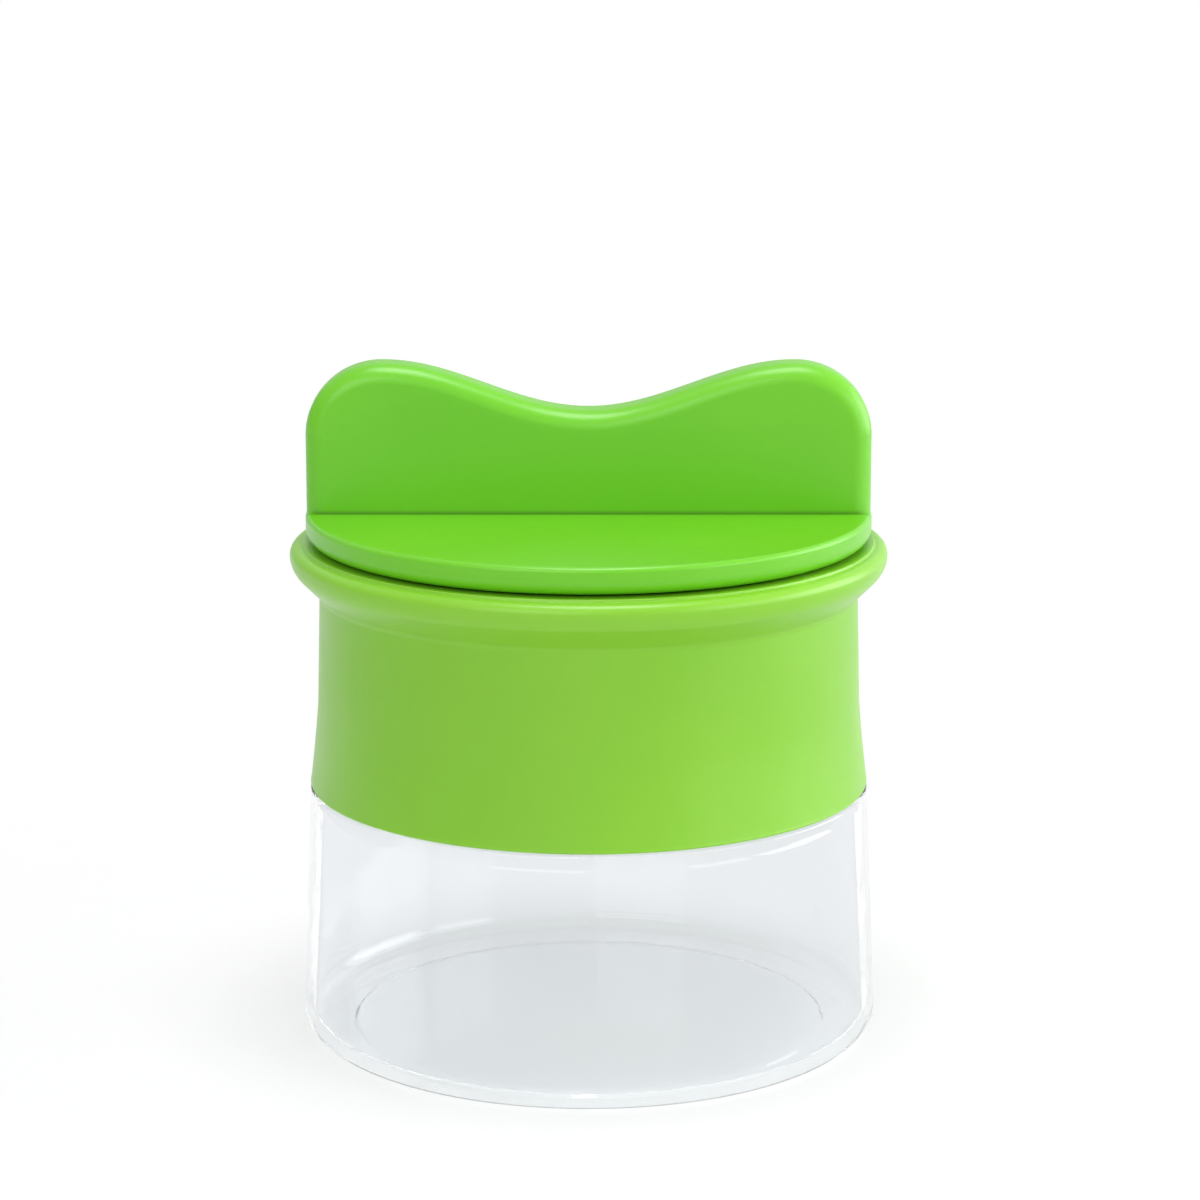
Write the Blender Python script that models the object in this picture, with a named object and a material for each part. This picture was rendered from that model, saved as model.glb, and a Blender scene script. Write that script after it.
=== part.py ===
"""Hand-twisted spiralizer: a clear container, a cutter body with its blade plate, and a winged food grip.

All sizes are in metres. +Z is up, the wing lies along X, and the origin is the centre of the base.
The grip is modelled seated on the body's rim, the way the spiralizer is stored.
"""

from math import atan2, cos, pi, radians, sin, tau

import bmesh
import bpy
from mathutils import Matrix

# Fits and facets
GAP = 0.0003  # clearance between pieces that seat on or in each other
SEGMENTS = 56  # facets round the large turned pieces
SMALL_SEGMENTS = 18  # facets round the coring tube and the centre spike
SCREW_SEGMENTS = 10  # facets round screws, rivets and their holes
CORNER_STEPS = 4  # facets across the large rounds
ROUND_STEPS = 3  # facets across the middle rounds
FILLET_STEPS = 2  # facets across the small rounds
FLARE_STEPS = 5  # facets up the skirt's flare
SHOULDER_STEPS = 7  # facets round each shoulder of the wing
SADDLE_STEPS = 8  # facets from a hump to the middle of the saddle
SMOOTH_ANGLE = 35.0  # degrees; sharper edges are shaded hard
OVERLAP = 0.0005  # how far joined shapes run into each other
PAST = 0.0020  # how far a cutter runs past what it cuts
SAME_POINT = 1e-6  # points closer than this are one point

# Container
CONTAINER_SPREAD = 0.00185  # the base is this much wider than the seam
CONTAINER_CORNER = 0.0043
CONTAINER_WALL = 0.0020
CONTAINER_FLOOR = 0.0022
FOOT_WIDTH = 0.0040  # flat ring that stands on the table
FOOT_RECESS = 0.0007  # how far the middle of the base is lifted inside the foot
CONTAINER_EDGE = 0.0004  # bevels at the shoulder and on top of the neck
SEAM_HEIGHT = 0.04095  # lower edge of the cutter body
NECK_HEIGHT = 0.0076  # how far the container's neck enters the body
NECK_WALL = 0.0018
KEY_COUNT = 3  # lugs on the neck that stop the body from turning
KEY_WIDTH = 0.0050
KEY_DEPTH = 0.0008
KEY_START = 30.0  # degrees from +X to the first key

# Cutter body
RIM_RADIUS = 0.0476  # the widest place, from which the other radii follow
BODY_HEIGHT = 0.03945  # seam to the top of the rim
SKIRT_WALL = 0.0028
SKIRT_EDGE = 0.0003  # bevels on the lower edge
BODY_DRAFT = 0.00045  # the wall widens this much from the rim down to the flare
FLARE_REACH = 0.0014  # and this much more down the flare
FLARE_HEIGHT = 0.0140
FLARE_CURVE = 1.25
RIM_REACH = 0.0046  # rim past the wall under it
BODY_WALL = 0.0028
RIM_UNDER_ROUND = 0.0040
RIM_TOP_ROUND = 0.0016
RIM_FILLET = 0.0016  # hollow corner between wall and rim
RIM_STEP = 0.0004  # the flat land stands this much above the rounded edge
LEAD_IN_WIDTH = 0.0025  # mouth wider than the bore
MOUTH_ROUND = 0.0006
LEAD_IN_DEPTH = 0.0030  # cone from the mouth down to the bore
LEDGE_THICKNESS = 0.0025  # ring inside the body that carries the blade plate
LEDGE_WIDTH = 0.0053

# Blade plate
SLICE_THICKNESS = 0.0025  # the ramp climbs this much in one turn
PLATE_WALL = 0.0024
FLANGE_WIDTH = 0.0048
FLANGE_LIP = 0.0006  # flange above the top of the ramp
HUB_RADIUS = 0.0068
HUB_STOP = 0.0006  # thickness of the lip under the coring tube
STEP_HALF_ANGLE = 0.004  # radians on each side of the blade in which the ramp drops back
SLOT_WIDTH = 0.0064
SLOT_INSET = 0.0006  # from the hub to the slot's inner end
BED_OVERHANG = 0.0014  # blade edge past the end of its bed
RIB_THICKNESS = 0.0014
RIB_ANGLES = (90.0, 180.0, 270.0)
PLATE_SCREW_ANGLES = (90.0, 210.0, 330.0)
PLATE_SCREW_ROOM = 0.00045  # from the screws' heads to the neck round them

# Steel parts of the cutter
BLADE_THICKNESS = 0.0006
BLADE_WIDTH = 0.0100
BLADE_BEVEL = 0.0016
BLADE_TIP = 0.0001  # thickness of the ground edge
BLADE_INNER = 0.0082  # inner end of the blade from the axis
BLADE_SINK = 0.0001  # top of the blade below the top of the ramp
TUBE_RADIUS = 0.0049
TUBE_WALL = 0.0005
TUBE_HEIGHT = 0.0042  # coring tube above the top of the ramp
TUBE_BEVEL = 0.0010
TUBE_TIP = 0.0001  # flat left on the tube's ground end
COMB_THICKNESS = 0.0005
COMB_FOOT_WIDTH = 0.0076
COMB_FOOT_INNER = 0.0078
COMB_END_ROOM = 0.0042  # from the foot's outer end to the flange
COMB_LIP = 0.0020  # plastic left between the slot and the comb's teeth
FIN_PITCH = 0.0030
FIN_LENGTH = 0.0026
FIN_RISE = 0.0008  # tips of the comb above the top of the ramp
FIN_INSET = 0.0017  # first fin from the foot's inner end

# Rivets and screws
RIVET_SHANK = 0.0008
RIVET_HEAD = 0.0015
RIVET_HEAD_HEIGHT = 0.0006
RIVET_TAIL = 0.0014
RIVET_TAIL_FLAT = 0.0010
RIVET_TAIL_HEIGHT = 0.0007
BLADE_RIVET_INSETS = (0.0043, 0.0040)  # from the blade's inner and outer end
BLADE_RIVET_SETBACK = 0.0062  # behind the step
COMB_RIVET_INSETS = (0.0032, 0.0019)  # from the foot's inner and outer end
COMB_RIVET_SETBACK = 0.0057  # from the comb foot's near edge
SCREW_SHANK = 0.0011
SCREW_HEAD = 0.0020
SCREW_HEAD_HEIGHT = 0.0013
SCREW_HEAD_FLAT = 0.0015
SCREW_TIP = 0.0004
SCREW_BITE = 0.0036  # plate screw's thread inside the plate
CROSS_WIDTH = 0.0005
CROSS_SPAN = 0.0022
CROSS_DEPTH = 0.0006

# Food grip
DISC_LAP = 0.0023  # lid past the mouth, over the rim
DISC_THICKNESS = 0.0044
DISC_TOP_ROUND = 0.0013
DISC_UNDER_ROUND = 0.0028
WING_INSET = 0.0002  # wing's ends inside the lid's edge
WING_THICKNESS = 0.0090
WING_HEIGHT = 0.0238  # humps above the disc
WING_DIP = 0.0075  # saddle below the humps
WING_SHOULDER_WIDTH = 0.0121  # from the hump's top to the wing's end
WING_SHOULDER = 0.0116  # height of the rounded outer corner
WING_ROUND = 0.0030
WING_WALL = 0.0022
WING_CORE_HEIGHT = 0.0120
WING_CORE_START = 0.0050
WING_CORE_INSET = 0.0108  # from the wing's end

# Food holder under the grip
HOLDER_PLAY = 0.0017  # from the holder to the bore
HOLDER_RELIEF = 0.0006  # wall between the ribs, below their faces
HOLDER_DEPTH = 0.0031
HOLDER_LIP = 0.0010
HOLDER_WALL = 0.0020
HOLDER_WEB = 0.0015
HOLDER_BOSS = 0.0046
BOSS_DRAFT = 0.0003
HOLDER_RIB_COUNT = 20
HOLDER_RIB_WIDTH = 0.0016
HOLDER_RIB_SETBACK = 0.0001  # ribs end this far inside the lip and the top
SPOKE_THICKNESS = 0.0012
TOOTH_COUNT = 8
TOOTH_INSET = 0.0129  # from the holder's edge to the middle of a tooth
TOOTH_LENGTH = 0.0077  # below the holder's lip
TOOTH_WIDTH = 0.0050
TOOTH_THICKNESS = 0.0016
TOOTH_TIP_WIDTH = 0.0008
TOOTH_TIP_THICKNESS = 0.0007
HOLDER_SCREW_COUNT = 4
HOLDER_SCREW_INSET = 0.0075  # from the holder's edge
HOLDER_SCREW_START = 22.5
HOLDER_SCREW_BITE = 0.0030

# Centre spike
SPIKE_RADIUS = 0.0015
SPIKE_HEAD = 0.0034
SPIKE_HEAD_HEIGHT = 0.0010
SPIKE_LENGTH = 0.0093  # below the holder's lip
SPIKE_POINT = 0.0045
SPIKE_TIP = 0.0003

# Heights worked out from the sizes above
RIM_TOP = SEAM_HEIGHT + BODY_HEIGHT
NECK_TOP = SEAM_HEIGHT + NECK_HEIGHT
LEDGE_BOTTOM = NECK_TOP + GAP
LEDGE_TOP = LEDGE_BOTTOM + LEDGE_THICKNESS
PLATE_BOTTOM = LEDGE_TOP + GAP
PLATE_UNDER = PLATE_BOTTOM + GAP
RAMP_LOW = PLATE_UNDER + PLATE_WALL
RAMP_HIGH = RAMP_LOW + SLICE_THICKNESS
FLANGE_TOP = RAMP_HIGH + FLANGE_LIP
BLADE_TOP = RAMP_HIGH - BLADE_SINK
BLADE_BOTTOM = BLADE_TOP - BLADE_THICKNESS
COMB_TOP = PLATE_UNDER - GAP
COMB_BOTTOM = COMB_TOP - COMB_THICKNESS
DISC_BOTTOM = RIM_TOP + GAP
DISC_TOP = DISC_BOTTOM + DISC_THICKNESS
HOLDER_TOP = DISC_BOTTOM - GAP
HOLDER_BOTTOM = HOLDER_TOP - HOLDER_DEPTH
WEB_BOTTOM = HOLDER_TOP - HOLDER_WEB

# Radii and widths worked out from the sizes above
THROAT_RADIUS = RIM_RADIUS - RIM_REACH
BORE_RADIUS = THROAT_RADIUS - BODY_WALL
MOUTH_RADIUS = BORE_RADIUS + LEAD_IN_WIDTH
WAIST_RADIUS = THROAT_RADIUS + BODY_DRAFT
SEAM_RADIUS = WAIST_RADIUS + FLARE_REACH
CONTAINER_RADIUS = SEAM_RADIUS + CONTAINER_SPREAD
LEDGE_RADIUS = BORE_RADIUS - LEDGE_WIDTH
SKIRT_BORE = SEAM_RADIUS - SKIRT_WALL
NECK_RADIUS = SKIRT_BORE - GAP
NECK_BORE = NECK_RADIUS - NECK_WALL
PLATE_RADIUS = BORE_RADIUS - GAP
FLANGE_INNER = PLATE_RADIUS - FLANGE_WIDTH
PLATE_SCREW_CIRCLE = NECK_BORE - SCREW_HEAD - PLATE_SCREW_ROOM
BED_END = -BED_OVERHANG / 2
BLADE_EDGE = BED_END + BED_OVERHANG
SLOT_END = BED_END + SLOT_WIDTH
BLADE_OUTER = FLANGE_INNER - 2 * GAP
FIN_START = SLOT_END + COMB_LIP
COMB_FOOT_EDGE = FIN_START - 2 * GAP
COMB_FOOT_OUTER = FLANGE_INNER - COMB_END_ROOM
FIRST_FIN = COMB_FOOT_INNER + FIN_INSET
DISC_RADIUS = MOUTH_RADIUS + DISC_LAP
WING_REACH = DISC_RADIUS - WING_INSET
HUMP_OFFSET = WING_REACH - WING_SHOULDER_WIDTH
WING_CORE_END = WING_REACH - WING_CORE_INSET
HOLDER_RADIUS = BORE_RADIUS - HOLDER_PLAY
TOOTH_CIRCLE = HOLDER_RADIUS - TOOTH_INSET
HOLDER_SCREW_CIRCLE = HOLDER_RADIUS - HOLDER_SCREW_INSET
SCREW_HOLE = SCREW_SHANK + GAP


def clear_scene():
    for item in list(bpy.data.objects):
        bpy.data.objects.remove(item, do_unlink=True)


def make_material(name, colour, roughness, metallic=0.0, alpha=1.0):
    material = bpy.data.materials.new(name)
    material.use_nodes = True
    shader = material.node_tree.nodes["Principled BSDF"]
    shader.inputs["Base Color"].default_value = (*colour, 1.0)
    shader.inputs["Roughness"].default_value = roughness
    shader.inputs["Metallic"].default_value = metallic
    shader.inputs["Alpha"].default_value = alpha
    return material


def object_from(name, bm):
    bmesh.ops.recalc_face_normals(bm, faces=bm.faces[:])
    mesh = bpy.data.meshes.new(name)
    bm.to_mesh(mesh)
    bm.free()
    item = bpy.data.objects.new(name, mesh)
    bpy.context.collection.objects.link(item)
    return item


def arc(centre_r, centre_z, radius, start, end, steps):
    """Points on a round corner of a profile, from start to end degrees."""
    angles = [radians(start + (end - start) * i / steps) for i in range(steps + 1)]
    return [(centre_r + radius * cos(a), centre_z + radius * sin(a)) for a in angles]


def lathe(name, profile, segments=SEGMENTS, at=(0.0, 0.0)):
    """Spin a closed profile of (radius, height) points round a vertical line through at."""
    bm = bmesh.new()
    points = [bm.verts.new((r, 0.0, z)) for r, z in profile]
    edges = [bm.edges.new(pair) for pair in zip(points, points[1:])]
    if profile[0][0] > 0.0 or profile[-1][0] > 0.0:
        edges.append(bm.edges.new((points[-1], points[0])))
    bmesh.ops.spin(bm, geom=points + edges, cent=(0, 0, 0), axis=(0, 0, 1), angle=tau,
                   steps=segments, use_merge=True)
    bmesh.ops.remove_doubles(bm, verts=bm.verts[:], dist=SAME_POINT)
    bmesh.ops.translate(bm, verts=bm.verts[:], vec=(at[0], at[1], 0.0))
    return object_from(name, bm)


def box(name, low, high, turn=0.0):
    """A box between two corners, turned about the Z axis by turn degrees."""
    bm = bmesh.new()
    bmesh.ops.create_cube(bm, size=1.0)
    size = [b - a for a, b in zip(low, high)]
    middle = [(a + b) / 2 for a, b in zip(low, high)]
    placed = Matrix.Rotation(radians(turn), 4, "Z") @ Matrix.Translation(middle)
    bmesh.ops.transform(bm, matrix=placed @ Matrix.Diagonal((*size, 1.0)), verts=bm.verts[:])
    return object_from(name, bm)


def loft(name, sections, endless=False):
    """Join closed sections, each a list of as many points: with both ends capped, or last to first.

    An endless loft has twisted sides, so they are split into triangles, which later cuts keep flat.
    """
    bm = bmesh.new()
    rings = [[bm.verts.new(point) for point in section] for section in sections]
    followers = rings[1:] + rings[:1] if endless else rings[1:]
    for ring, following in zip(rings, followers):
        for i in range(len(ring)):
            j = (i + 1) % len(ring)
            bm.faces.new((ring[i], ring[j], following[j], following[i]))
    if endless:
        bmesh.ops.triangulate(bm, faces=bm.faces[:])
    else:
        bm.faces.new(list(reversed(rings[0])))
        bm.faces.new(rings[-1])
    return object_from(name, bm)


def join(name, items):
    """Put several separate shapes into one object, to add or cut them in one step."""
    bm = bmesh.new()
    for item in items:
        bm.from_mesh(item.data)
        bpy.data.objects.remove(item, do_unlink=True)
    return object_from(name, bm)


def combine(item, operation, tools):
    """Add the tools to the item, or cut them from it, and take the tools away."""
    tool = join("tool", tools) if len(tools) > 1 else tools[0]
    modifier = item.modifiers.new("combine", "BOOLEAN")
    modifier.operation = operation
    modifier.solver = "EXACT"
    modifier.object = tool
    graph = bpy.context.evaluated_depsgraph_get()
    result = bpy.data.meshes.new_from_object(item.evaluated_get(graph))
    item.modifiers.clear()
    item.data = result
    bpy.data.objects.remove(tool, do_unlink=True)
    return item


def finish(item, material):
    """Merge slivers left by the cuts, shade round faces smooth and give the piece its material."""
    bm = bmesh.new()
    bm.from_mesh(item.data)
    bmesh.ops.dissolve_degenerate(bm, dist=SAME_POINT, edges=bm.edges[:])
    bmesh.ops.recalc_face_normals(bm, faces=bm.faces[:])
    bm.to_mesh(item.data)
    bm.free()
    item.data.shade_smooth()
    item.data.set_sharp_from_angle(angle=radians(SMOOTH_ANGLE))
    item.data.materials.clear()
    item.data.materials.append(material)
    item.data.name = item.name
    return item


def round_place(radius, degrees):
    return (radius * cos(radians(degrees)), radius * sin(radians(degrees)))


def hole(radius, low, high, at, segments=SCREW_SEGMENTS):
    profile = [(0.0, low), (radius, low), (radius, high), (0.0, high)]
    return lathe("hole", profile, segments, at)


def container_keys(grow, low, high):
    """Blocks at the neck's keys: the lugs themselves, or the slots that they slide in."""
    inner = NECK_RADIUS - OVERLAP
    outer = NECK_RADIUS + KEY_DEPTH + grow
    half = KEY_WIDTH / 2 + grow
    turns = [KEY_START + i * 360.0 / KEY_COUNT for i in range(KEY_COUNT)]
    return [box("key", (inner, -half, low), (outer, half, high), turn) for turn in turns]


def make_container(material):
    shoulder = SEAM_HEIGHT - GAP
    edge = CONTAINER_EDGE
    foot_outer = CONTAINER_RADIUS - CONTAINER_CORNER
    foot_inner = foot_outer - FOOT_WIDTH
    inner_round = CONTAINER_CORNER - CONTAINER_WALL
    floor_corner = CONTAINER_FLOOR + inner_round
    inside_top = SEAM_RADIUS - CONTAINER_WALL
    profile = [(0.0, FOOT_RECESS), (foot_inner - FOOT_RECESS, FOOT_RECESS), (foot_inner, 0.0)]
    profile += arc(foot_outer, CONTAINER_CORNER, CONTAINER_CORNER, -90, 0, CORNER_STEPS)
    profile += [(SEAM_RADIUS, shoulder - edge), (SEAM_RADIUS - edge, shoulder)]
    profile += [(NECK_RADIUS, shoulder), (NECK_RADIUS, NECK_TOP - edge), (NECK_RADIUS - edge, NECK_TOP)]
    profile += [(NECK_BORE, NECK_TOP), (NECK_BORE, shoulder)]
    profile += [(inside_top, shoulder - (inside_top - NECK_BORE))]
    inner_centre = CONTAINER_RADIUS - CONTAINER_WALL - inner_round
    profile += arc(inner_centre, floor_corner, inner_round, 0, -90, ROUND_STEPS)
    profile += [(0.0, CONTAINER_FLOOR)]
    container = lathe("container", profile)
    combine(container, "UNION", container_keys(0.0, shoulder + 2 * edge, NECK_TOP - 2 * edge))
    return finish(container, material)


def body_outline():
    """The cutter body's section, from the seam up the outside, over the rim and down the bore."""
    edge = SKIRT_EDGE
    outline = [(SEAM_RADIUS - edge, SEAM_HEIGHT), (SEAM_RADIUS, SEAM_HEIGHT + edge)]
    for step in range(1, FLARE_STEPS + 1):
        share = step / FLARE_STEPS
        radius = WAIST_RADIUS + (SEAM_RADIUS - WAIST_RADIUS) * (1 - share) ** FLARE_CURVE
        outline.append((radius, SEAM_HEIGHT + FLARE_HEIGHT * share))
    under_centre_r = RIM_RADIUS - RIM_UNDER_ROUND
    edge_height = RIM_TOP - RIM_STEP - RIM_TOP_ROUND
    under = arc(under_centre_r, edge_height, RIM_UNDER_ROUND, -45, 0, ROUND_STEPS)
    fillet_end = THROAT_RADIUS + RIM_FILLET * (1 - cos(radians(45)))
    fillet_top = under[0][1] - (under[0][0] - fillet_end)
    fillet_centre = fillet_top - RIM_FILLET * sin(radians(45))
    outline += arc(THROAT_RADIUS + RIM_FILLET, fillet_centre, RIM_FILLET, 180, 135, FILLET_STEPS)
    outline += under
    outline += arc(RIM_RADIUS - RIM_TOP_ROUND, edge_height, RIM_TOP_ROUND, 0, 90, CORNER_STEPS)[1:]
    land = RIM_RADIUS - RIM_TOP_ROUND - RIM_STEP
    outline += [(land, RIM_TOP - RIM_STEP), (land - RIM_STEP / 2, RIM_TOP)]
    outline += arc(MOUTH_RADIUS + MOUTH_ROUND, RIM_TOP - MOUTH_ROUND, MOUTH_ROUND, 90, 180, FILLET_STEPS)
    outline += [(BORE_RADIUS, RIM_TOP - MOUTH_ROUND - LEAD_IN_DEPTH), (BORE_RADIUS, LEDGE_TOP)]
    outline += [(LEDGE_RADIUS, LEDGE_TOP), (LEDGE_RADIUS, LEDGE_BOTTOM)]
    outline += [(SKIRT_BORE, LEDGE_BOTTOM), (SKIRT_BORE, SEAM_HEIGHT + edge)]
    outline += [(SKIRT_BORE + edge, SEAM_HEIGHT)]
    return outline


def make_cutter_body(material):
    body = lathe("cutter_body", body_outline())
    slots = container_keys(GAP, SEAM_HEIGHT - PAST, LEDGE_BOTTOM - GAP)
    places = [round_place(PLATE_SCREW_CIRCLE, angle) for angle in PLATE_SCREW_ANGLES]
    holes = [hole(SCREW_HOLE, LEDGE_BOTTOM - PAST, LEDGE_TOP + PAST, place) for place in places]
    combine(body, "DIFFERENCE", slots + holes)
    return finish(body, material)


def ramp_top(x, y):
    """Height of the helical floor: it climbs anticlockwise, seen from above, from the step at +X."""
    return RAMP_LOW + SLICE_THICKNESS * (atan2(y, x) % tau) / tau


def ramp_under(x, y):
    return max(PLATE_UNDER, ramp_top(x, y) - PLATE_WALL)


def make_plate_blank():
    """Hub, helical floor and flange in one: the same section all round, apart from the floor's height."""
    bore = TUBE_RADIUS + GAP
    stop = TUBE_RADIUS - TUBE_WALL
    stop_top = PLATE_BOTTOM + HUB_STOP
    sections = []
    for step in range(SEGMENTS):
        angle = STEP_HALF_ANGLE + (tau - 2 * STEP_HALF_ANGLE) * step / (SEGMENTS - 1)
        across, along = cos(angle), sin(angle)
        top = ramp_top(across, along)
        under = ramp_under(across, along)
        section = [(stop, PLATE_BOTTOM), (HUB_RADIUS, PLATE_BOTTOM), (HUB_RADIUS, under),
                   (FLANGE_INNER, under), (FLANGE_INNER, PLATE_BOTTOM), (PLATE_RADIUS, PLATE_BOTTOM),
                   (PLATE_RADIUS, FLANGE_TOP), (FLANGE_INNER, FLANGE_TOP), (FLANGE_INNER, top),
                   (bore, top), (bore, stop_top), (stop, stop_top)]
        sections.append([(r * across, r * along, z) for r, z in section])
    return loft("blade_plate", sections, endless=True)


def rivet_profile(top, seat, grow=0.0):
    """A countersunk head under top, a shank, and a flat tail under seat; grown for its hole."""
    head = RIVET_HEAD + grow
    shank = RIVET_SHANK + grow
    cone = top - RIVET_HEAD_HEIGHT - grow
    if grow:
        return [(0.0, seat - PAST), (shank, seat - PAST), (shank, cone), (head, top), (head, top + PAST),
                (0.0, top + PAST)]
    tail = seat - GAP
    return [(0.0, tail - RIVET_TAIL_HEIGHT), (RIVET_TAIL_FLAT, tail - RIVET_TAIL_HEIGHT),
            (RIVET_TAIL, tail - RIVET_TAIL_HEIGHT / 2), (RIVET_TAIL, tail), (shank, tail),
            (shank, cone), (head, top), (0.0, top)]


def blade_rivet_places():
    inner, outer = BLADE_RIVET_INSETS
    return [(x, BED_END - BLADE_RIVET_SETBACK) for x in (BLADE_INNER + inner, BLADE_OUTER - outer)]


def comb_rivet_places():
    inner, outer = COMB_RIVET_INSETS
    y = COMB_FOOT_EDGE + COMB_RIVET_SETBACK
    return [(x, y) for x in (COMB_FOOT_INNER + inner, COMB_FOOT_OUTER - outer)]


def comb_rivet_top(place):
    return ramp_top(*place) - BLADE_SINK


def fin_places():
    count = int((COMB_FOOT_OUTER - FIRST_FIN) / FIN_PITCH) + 1
    return [FIRST_FIN + i * FIN_PITCH for i in range(count)]


def make_blade_plate(material):
    plate = make_plate_blank()
    ribs = [box("rib", (HUB_RADIUS - OVERLAP, -RIB_THICKNESS / 2, PLATE_UNDER),
                (FLANGE_INNER + OVERLAP, RIB_THICKNESS / 2,
                 ramp_top(*round_place(1.0, angle)) - PLATE_WALL / 2), angle) for angle in RIB_ANGLES]
    combine(plate, "UNION", ribs)

    past_top = FLANGE_TOP + PAST
    slot = box("slot", (HUB_RADIUS + SLOT_INSET, BED_END, PLATE_BOTTOM - PAST),
               (FLANGE_INNER + OVERLAP / 2, SLOT_END, past_top))
    recess = box("recess", (BLADE_INNER - GAP, BLADE_EDGE - BLADE_WIDTH - GAP, BLADE_BOTTOM - GAP),
                 (BLADE_OUTER + GAP, BLADE_EDGE + GAP, past_top))
    combine(plate, "DIFFERENCE", [slot])
    combine(plate, "DIFFERENCE", [recess])

    wide = COMB_THICKNESS / 2 + GAP
    slits = [box("slit", (x - wide, FIN_START - GAP, PLATE_BOTTOM - PAST),
                 (x + wide, FIN_START + FIN_LENGTH + GAP, past_top)) for x in fin_places()]
    blade_holes = [lathe("hole", rivet_profile(BLADE_TOP, BLADE_BOTTOM - PLATE_WALL, GAP), SCREW_SEGMENTS, at)
                   for at in blade_rivet_places()]
    comb_holes = [lathe("hole", rivet_profile(comb_rivet_top(at), COMB_BOTTOM, GAP), SCREW_SEGMENTS, at)
                  for at in comb_rivet_places()]
    pilots = [hole(SCREW_HOLE, PLATE_BOTTOM - PAST, PLATE_BOTTOM + SCREW_BITE + GAP,
                   round_place(PLATE_SCREW_CIRCLE, angle)) for angle in PLATE_SCREW_ANGLES]
    for cutters in (slits, blade_holes, comb_holes, pilots):
        combine(plate, "DIFFERENCE", cutters)
    return finish(plate, material)


def make_slicing_blade(material):
    """A flat strip with a ground edge facing the food as it comes round clockwise."""
    back = BLADE_EDGE - BLADE_WIDTH
    section = [(back, BLADE_BOTTOM), (BLADE_EDGE - BLADE_BEVEL, BLADE_BOTTOM),
               (BLADE_EDGE, BLADE_TOP - BLADE_TIP), (BLADE_EDGE, BLADE_TOP), (back, BLADE_TOP)]
    blade = loft("slicing_blade", [[(x, y, z) for y, z in section] for x in (BLADE_INNER, BLADE_OUTER)])
    holes = [lathe("hole", rivet_profile(BLADE_TOP, BLADE_BOTTOM, GAP), SCREW_SEGMENTS, at)
             for at in blade_rivet_places()]
    combine(blade, "DIFFERENCE", holes)
    return finish(blade, material)


def make_slitting_comb(material):
    """A foot under the plate with upright fins that slit each slice into strands."""
    comb = box("slitting_comb", (COMB_FOOT_INNER, COMB_FOOT_EDGE, COMB_BOTTOM),
               (COMB_FOOT_OUTER, COMB_FOOT_EDGE + COMB_FOOT_WIDTH, COMB_TOP))
    tip = RAMP_HIGH + FIN_RISE
    root = COMB_TOP - COMB_THICKNESS / 2
    rise = (tip - root) / 2
    side = [(FIN_START, root), (FIN_START + FIN_LENGTH, root), (FIN_START + FIN_LENGTH, root + rise),
            (FIN_START + COMB_THICKNESS, tip), (FIN_START, tip)]
    half = COMB_THICKNESS / 2
    fins = [loft("fin", [[(x + offset, y, z) for y, z in side] for offset in (-half, half)])
            for x in fin_places()]
    combine(comb, "UNION", fins)
    holes = [hole(RIVET_SHANK + GAP, COMB_BOTTOM - PAST, COMB_TOP + PAST, at) for at in comb_rivet_places()]
    combine(comb, "DIFFERENCE", holes)
    return finish(comb, material)


def make_coring_tube(material):
    inner = TUBE_RADIUS - TUBE_WALL
    low = PLATE_BOTTOM + HUB_STOP + GAP
    high = RAMP_HIGH + TUBE_HEIGHT
    profile = [(inner, low), (TUBE_RADIUS, low), (TUBE_RADIUS, high - TUBE_BEVEL),
               (inner + TUBE_TIP, high), (inner, high)]
    return finish(lathe("coring_tube", profile, SMALL_SEGMENTS), material)


def make_rivets(material):
    rivets = []
    for number, at in enumerate(blade_rivet_places(), 1):
        profile = rivet_profile(BLADE_TOP, ramp_under(*at))
        rivets.append(lathe(f"blade_rivet_{number}", profile, SCREW_SEGMENTS, at))
    for number, at in enumerate(comb_rivet_places(), 1):
        profile = rivet_profile(comb_rivet_top(at), COMB_BOTTOM)
        rivets.append(lathe(f"comb_rivet_{number}", profile, SCREW_SEGMENTS, at))
    return [finish(rivet, material) for rivet in rivets]


def make_screw(name, at, seat, bite_end, material):
    """A pan-head screw driven upward: its head bears on the face at height seat."""
    top = seat - GAP
    low = top - SCREW_HEAD_HEIGHT
    profile = [(0.0, low), (SCREW_HEAD_FLAT, low), (SCREW_HEAD, low + SCREW_HEAD_HEIGHT / 2),
               (SCREW_HEAD, top), (SCREW_SHANK, top), (SCREW_SHANK, bite_end - SCREW_SHANK),
               (SCREW_TIP, bite_end), (0.0, bite_end)]
    screw = lathe(name, profile, SCREW_SEGMENTS, at)
    cross = []
    for span, width in ((CROSS_SPAN, CROSS_WIDTH), (CROSS_WIDTH, CROSS_SPAN)):
        low_corner = (at[0] - span / 2, at[1] - width / 2, low - CROSS_DEPTH)
        high_corner = (at[0] + span / 2, at[1] + width / 2, low + CROSS_DEPTH)
        cross.append(box("cross", low_corner, high_corner))
    for bar in cross:
        combine(screw, "DIFFERENCE", [bar])
    return finish(screw, material)


def make_plate_screws(material):
    places = [round_place(PLATE_SCREW_CIRCLE, angle) for angle in PLATE_SCREW_ANGLES]
    return [make_screw(f"plate_screw_{number}", at, LEDGE_BOTTOM, PLATE_BOTTOM + SCREW_BITE, material)
            for number, at in enumerate(places, 1)]


def holder_screw_places():
    angles = [HOLDER_SCREW_START + i * 360.0 / HOLDER_SCREW_COUNT for i in range(HOLDER_SCREW_COUNT)]
    return [round_place(HOLDER_SCREW_CIRCLE, angle) for angle in angles]


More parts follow.
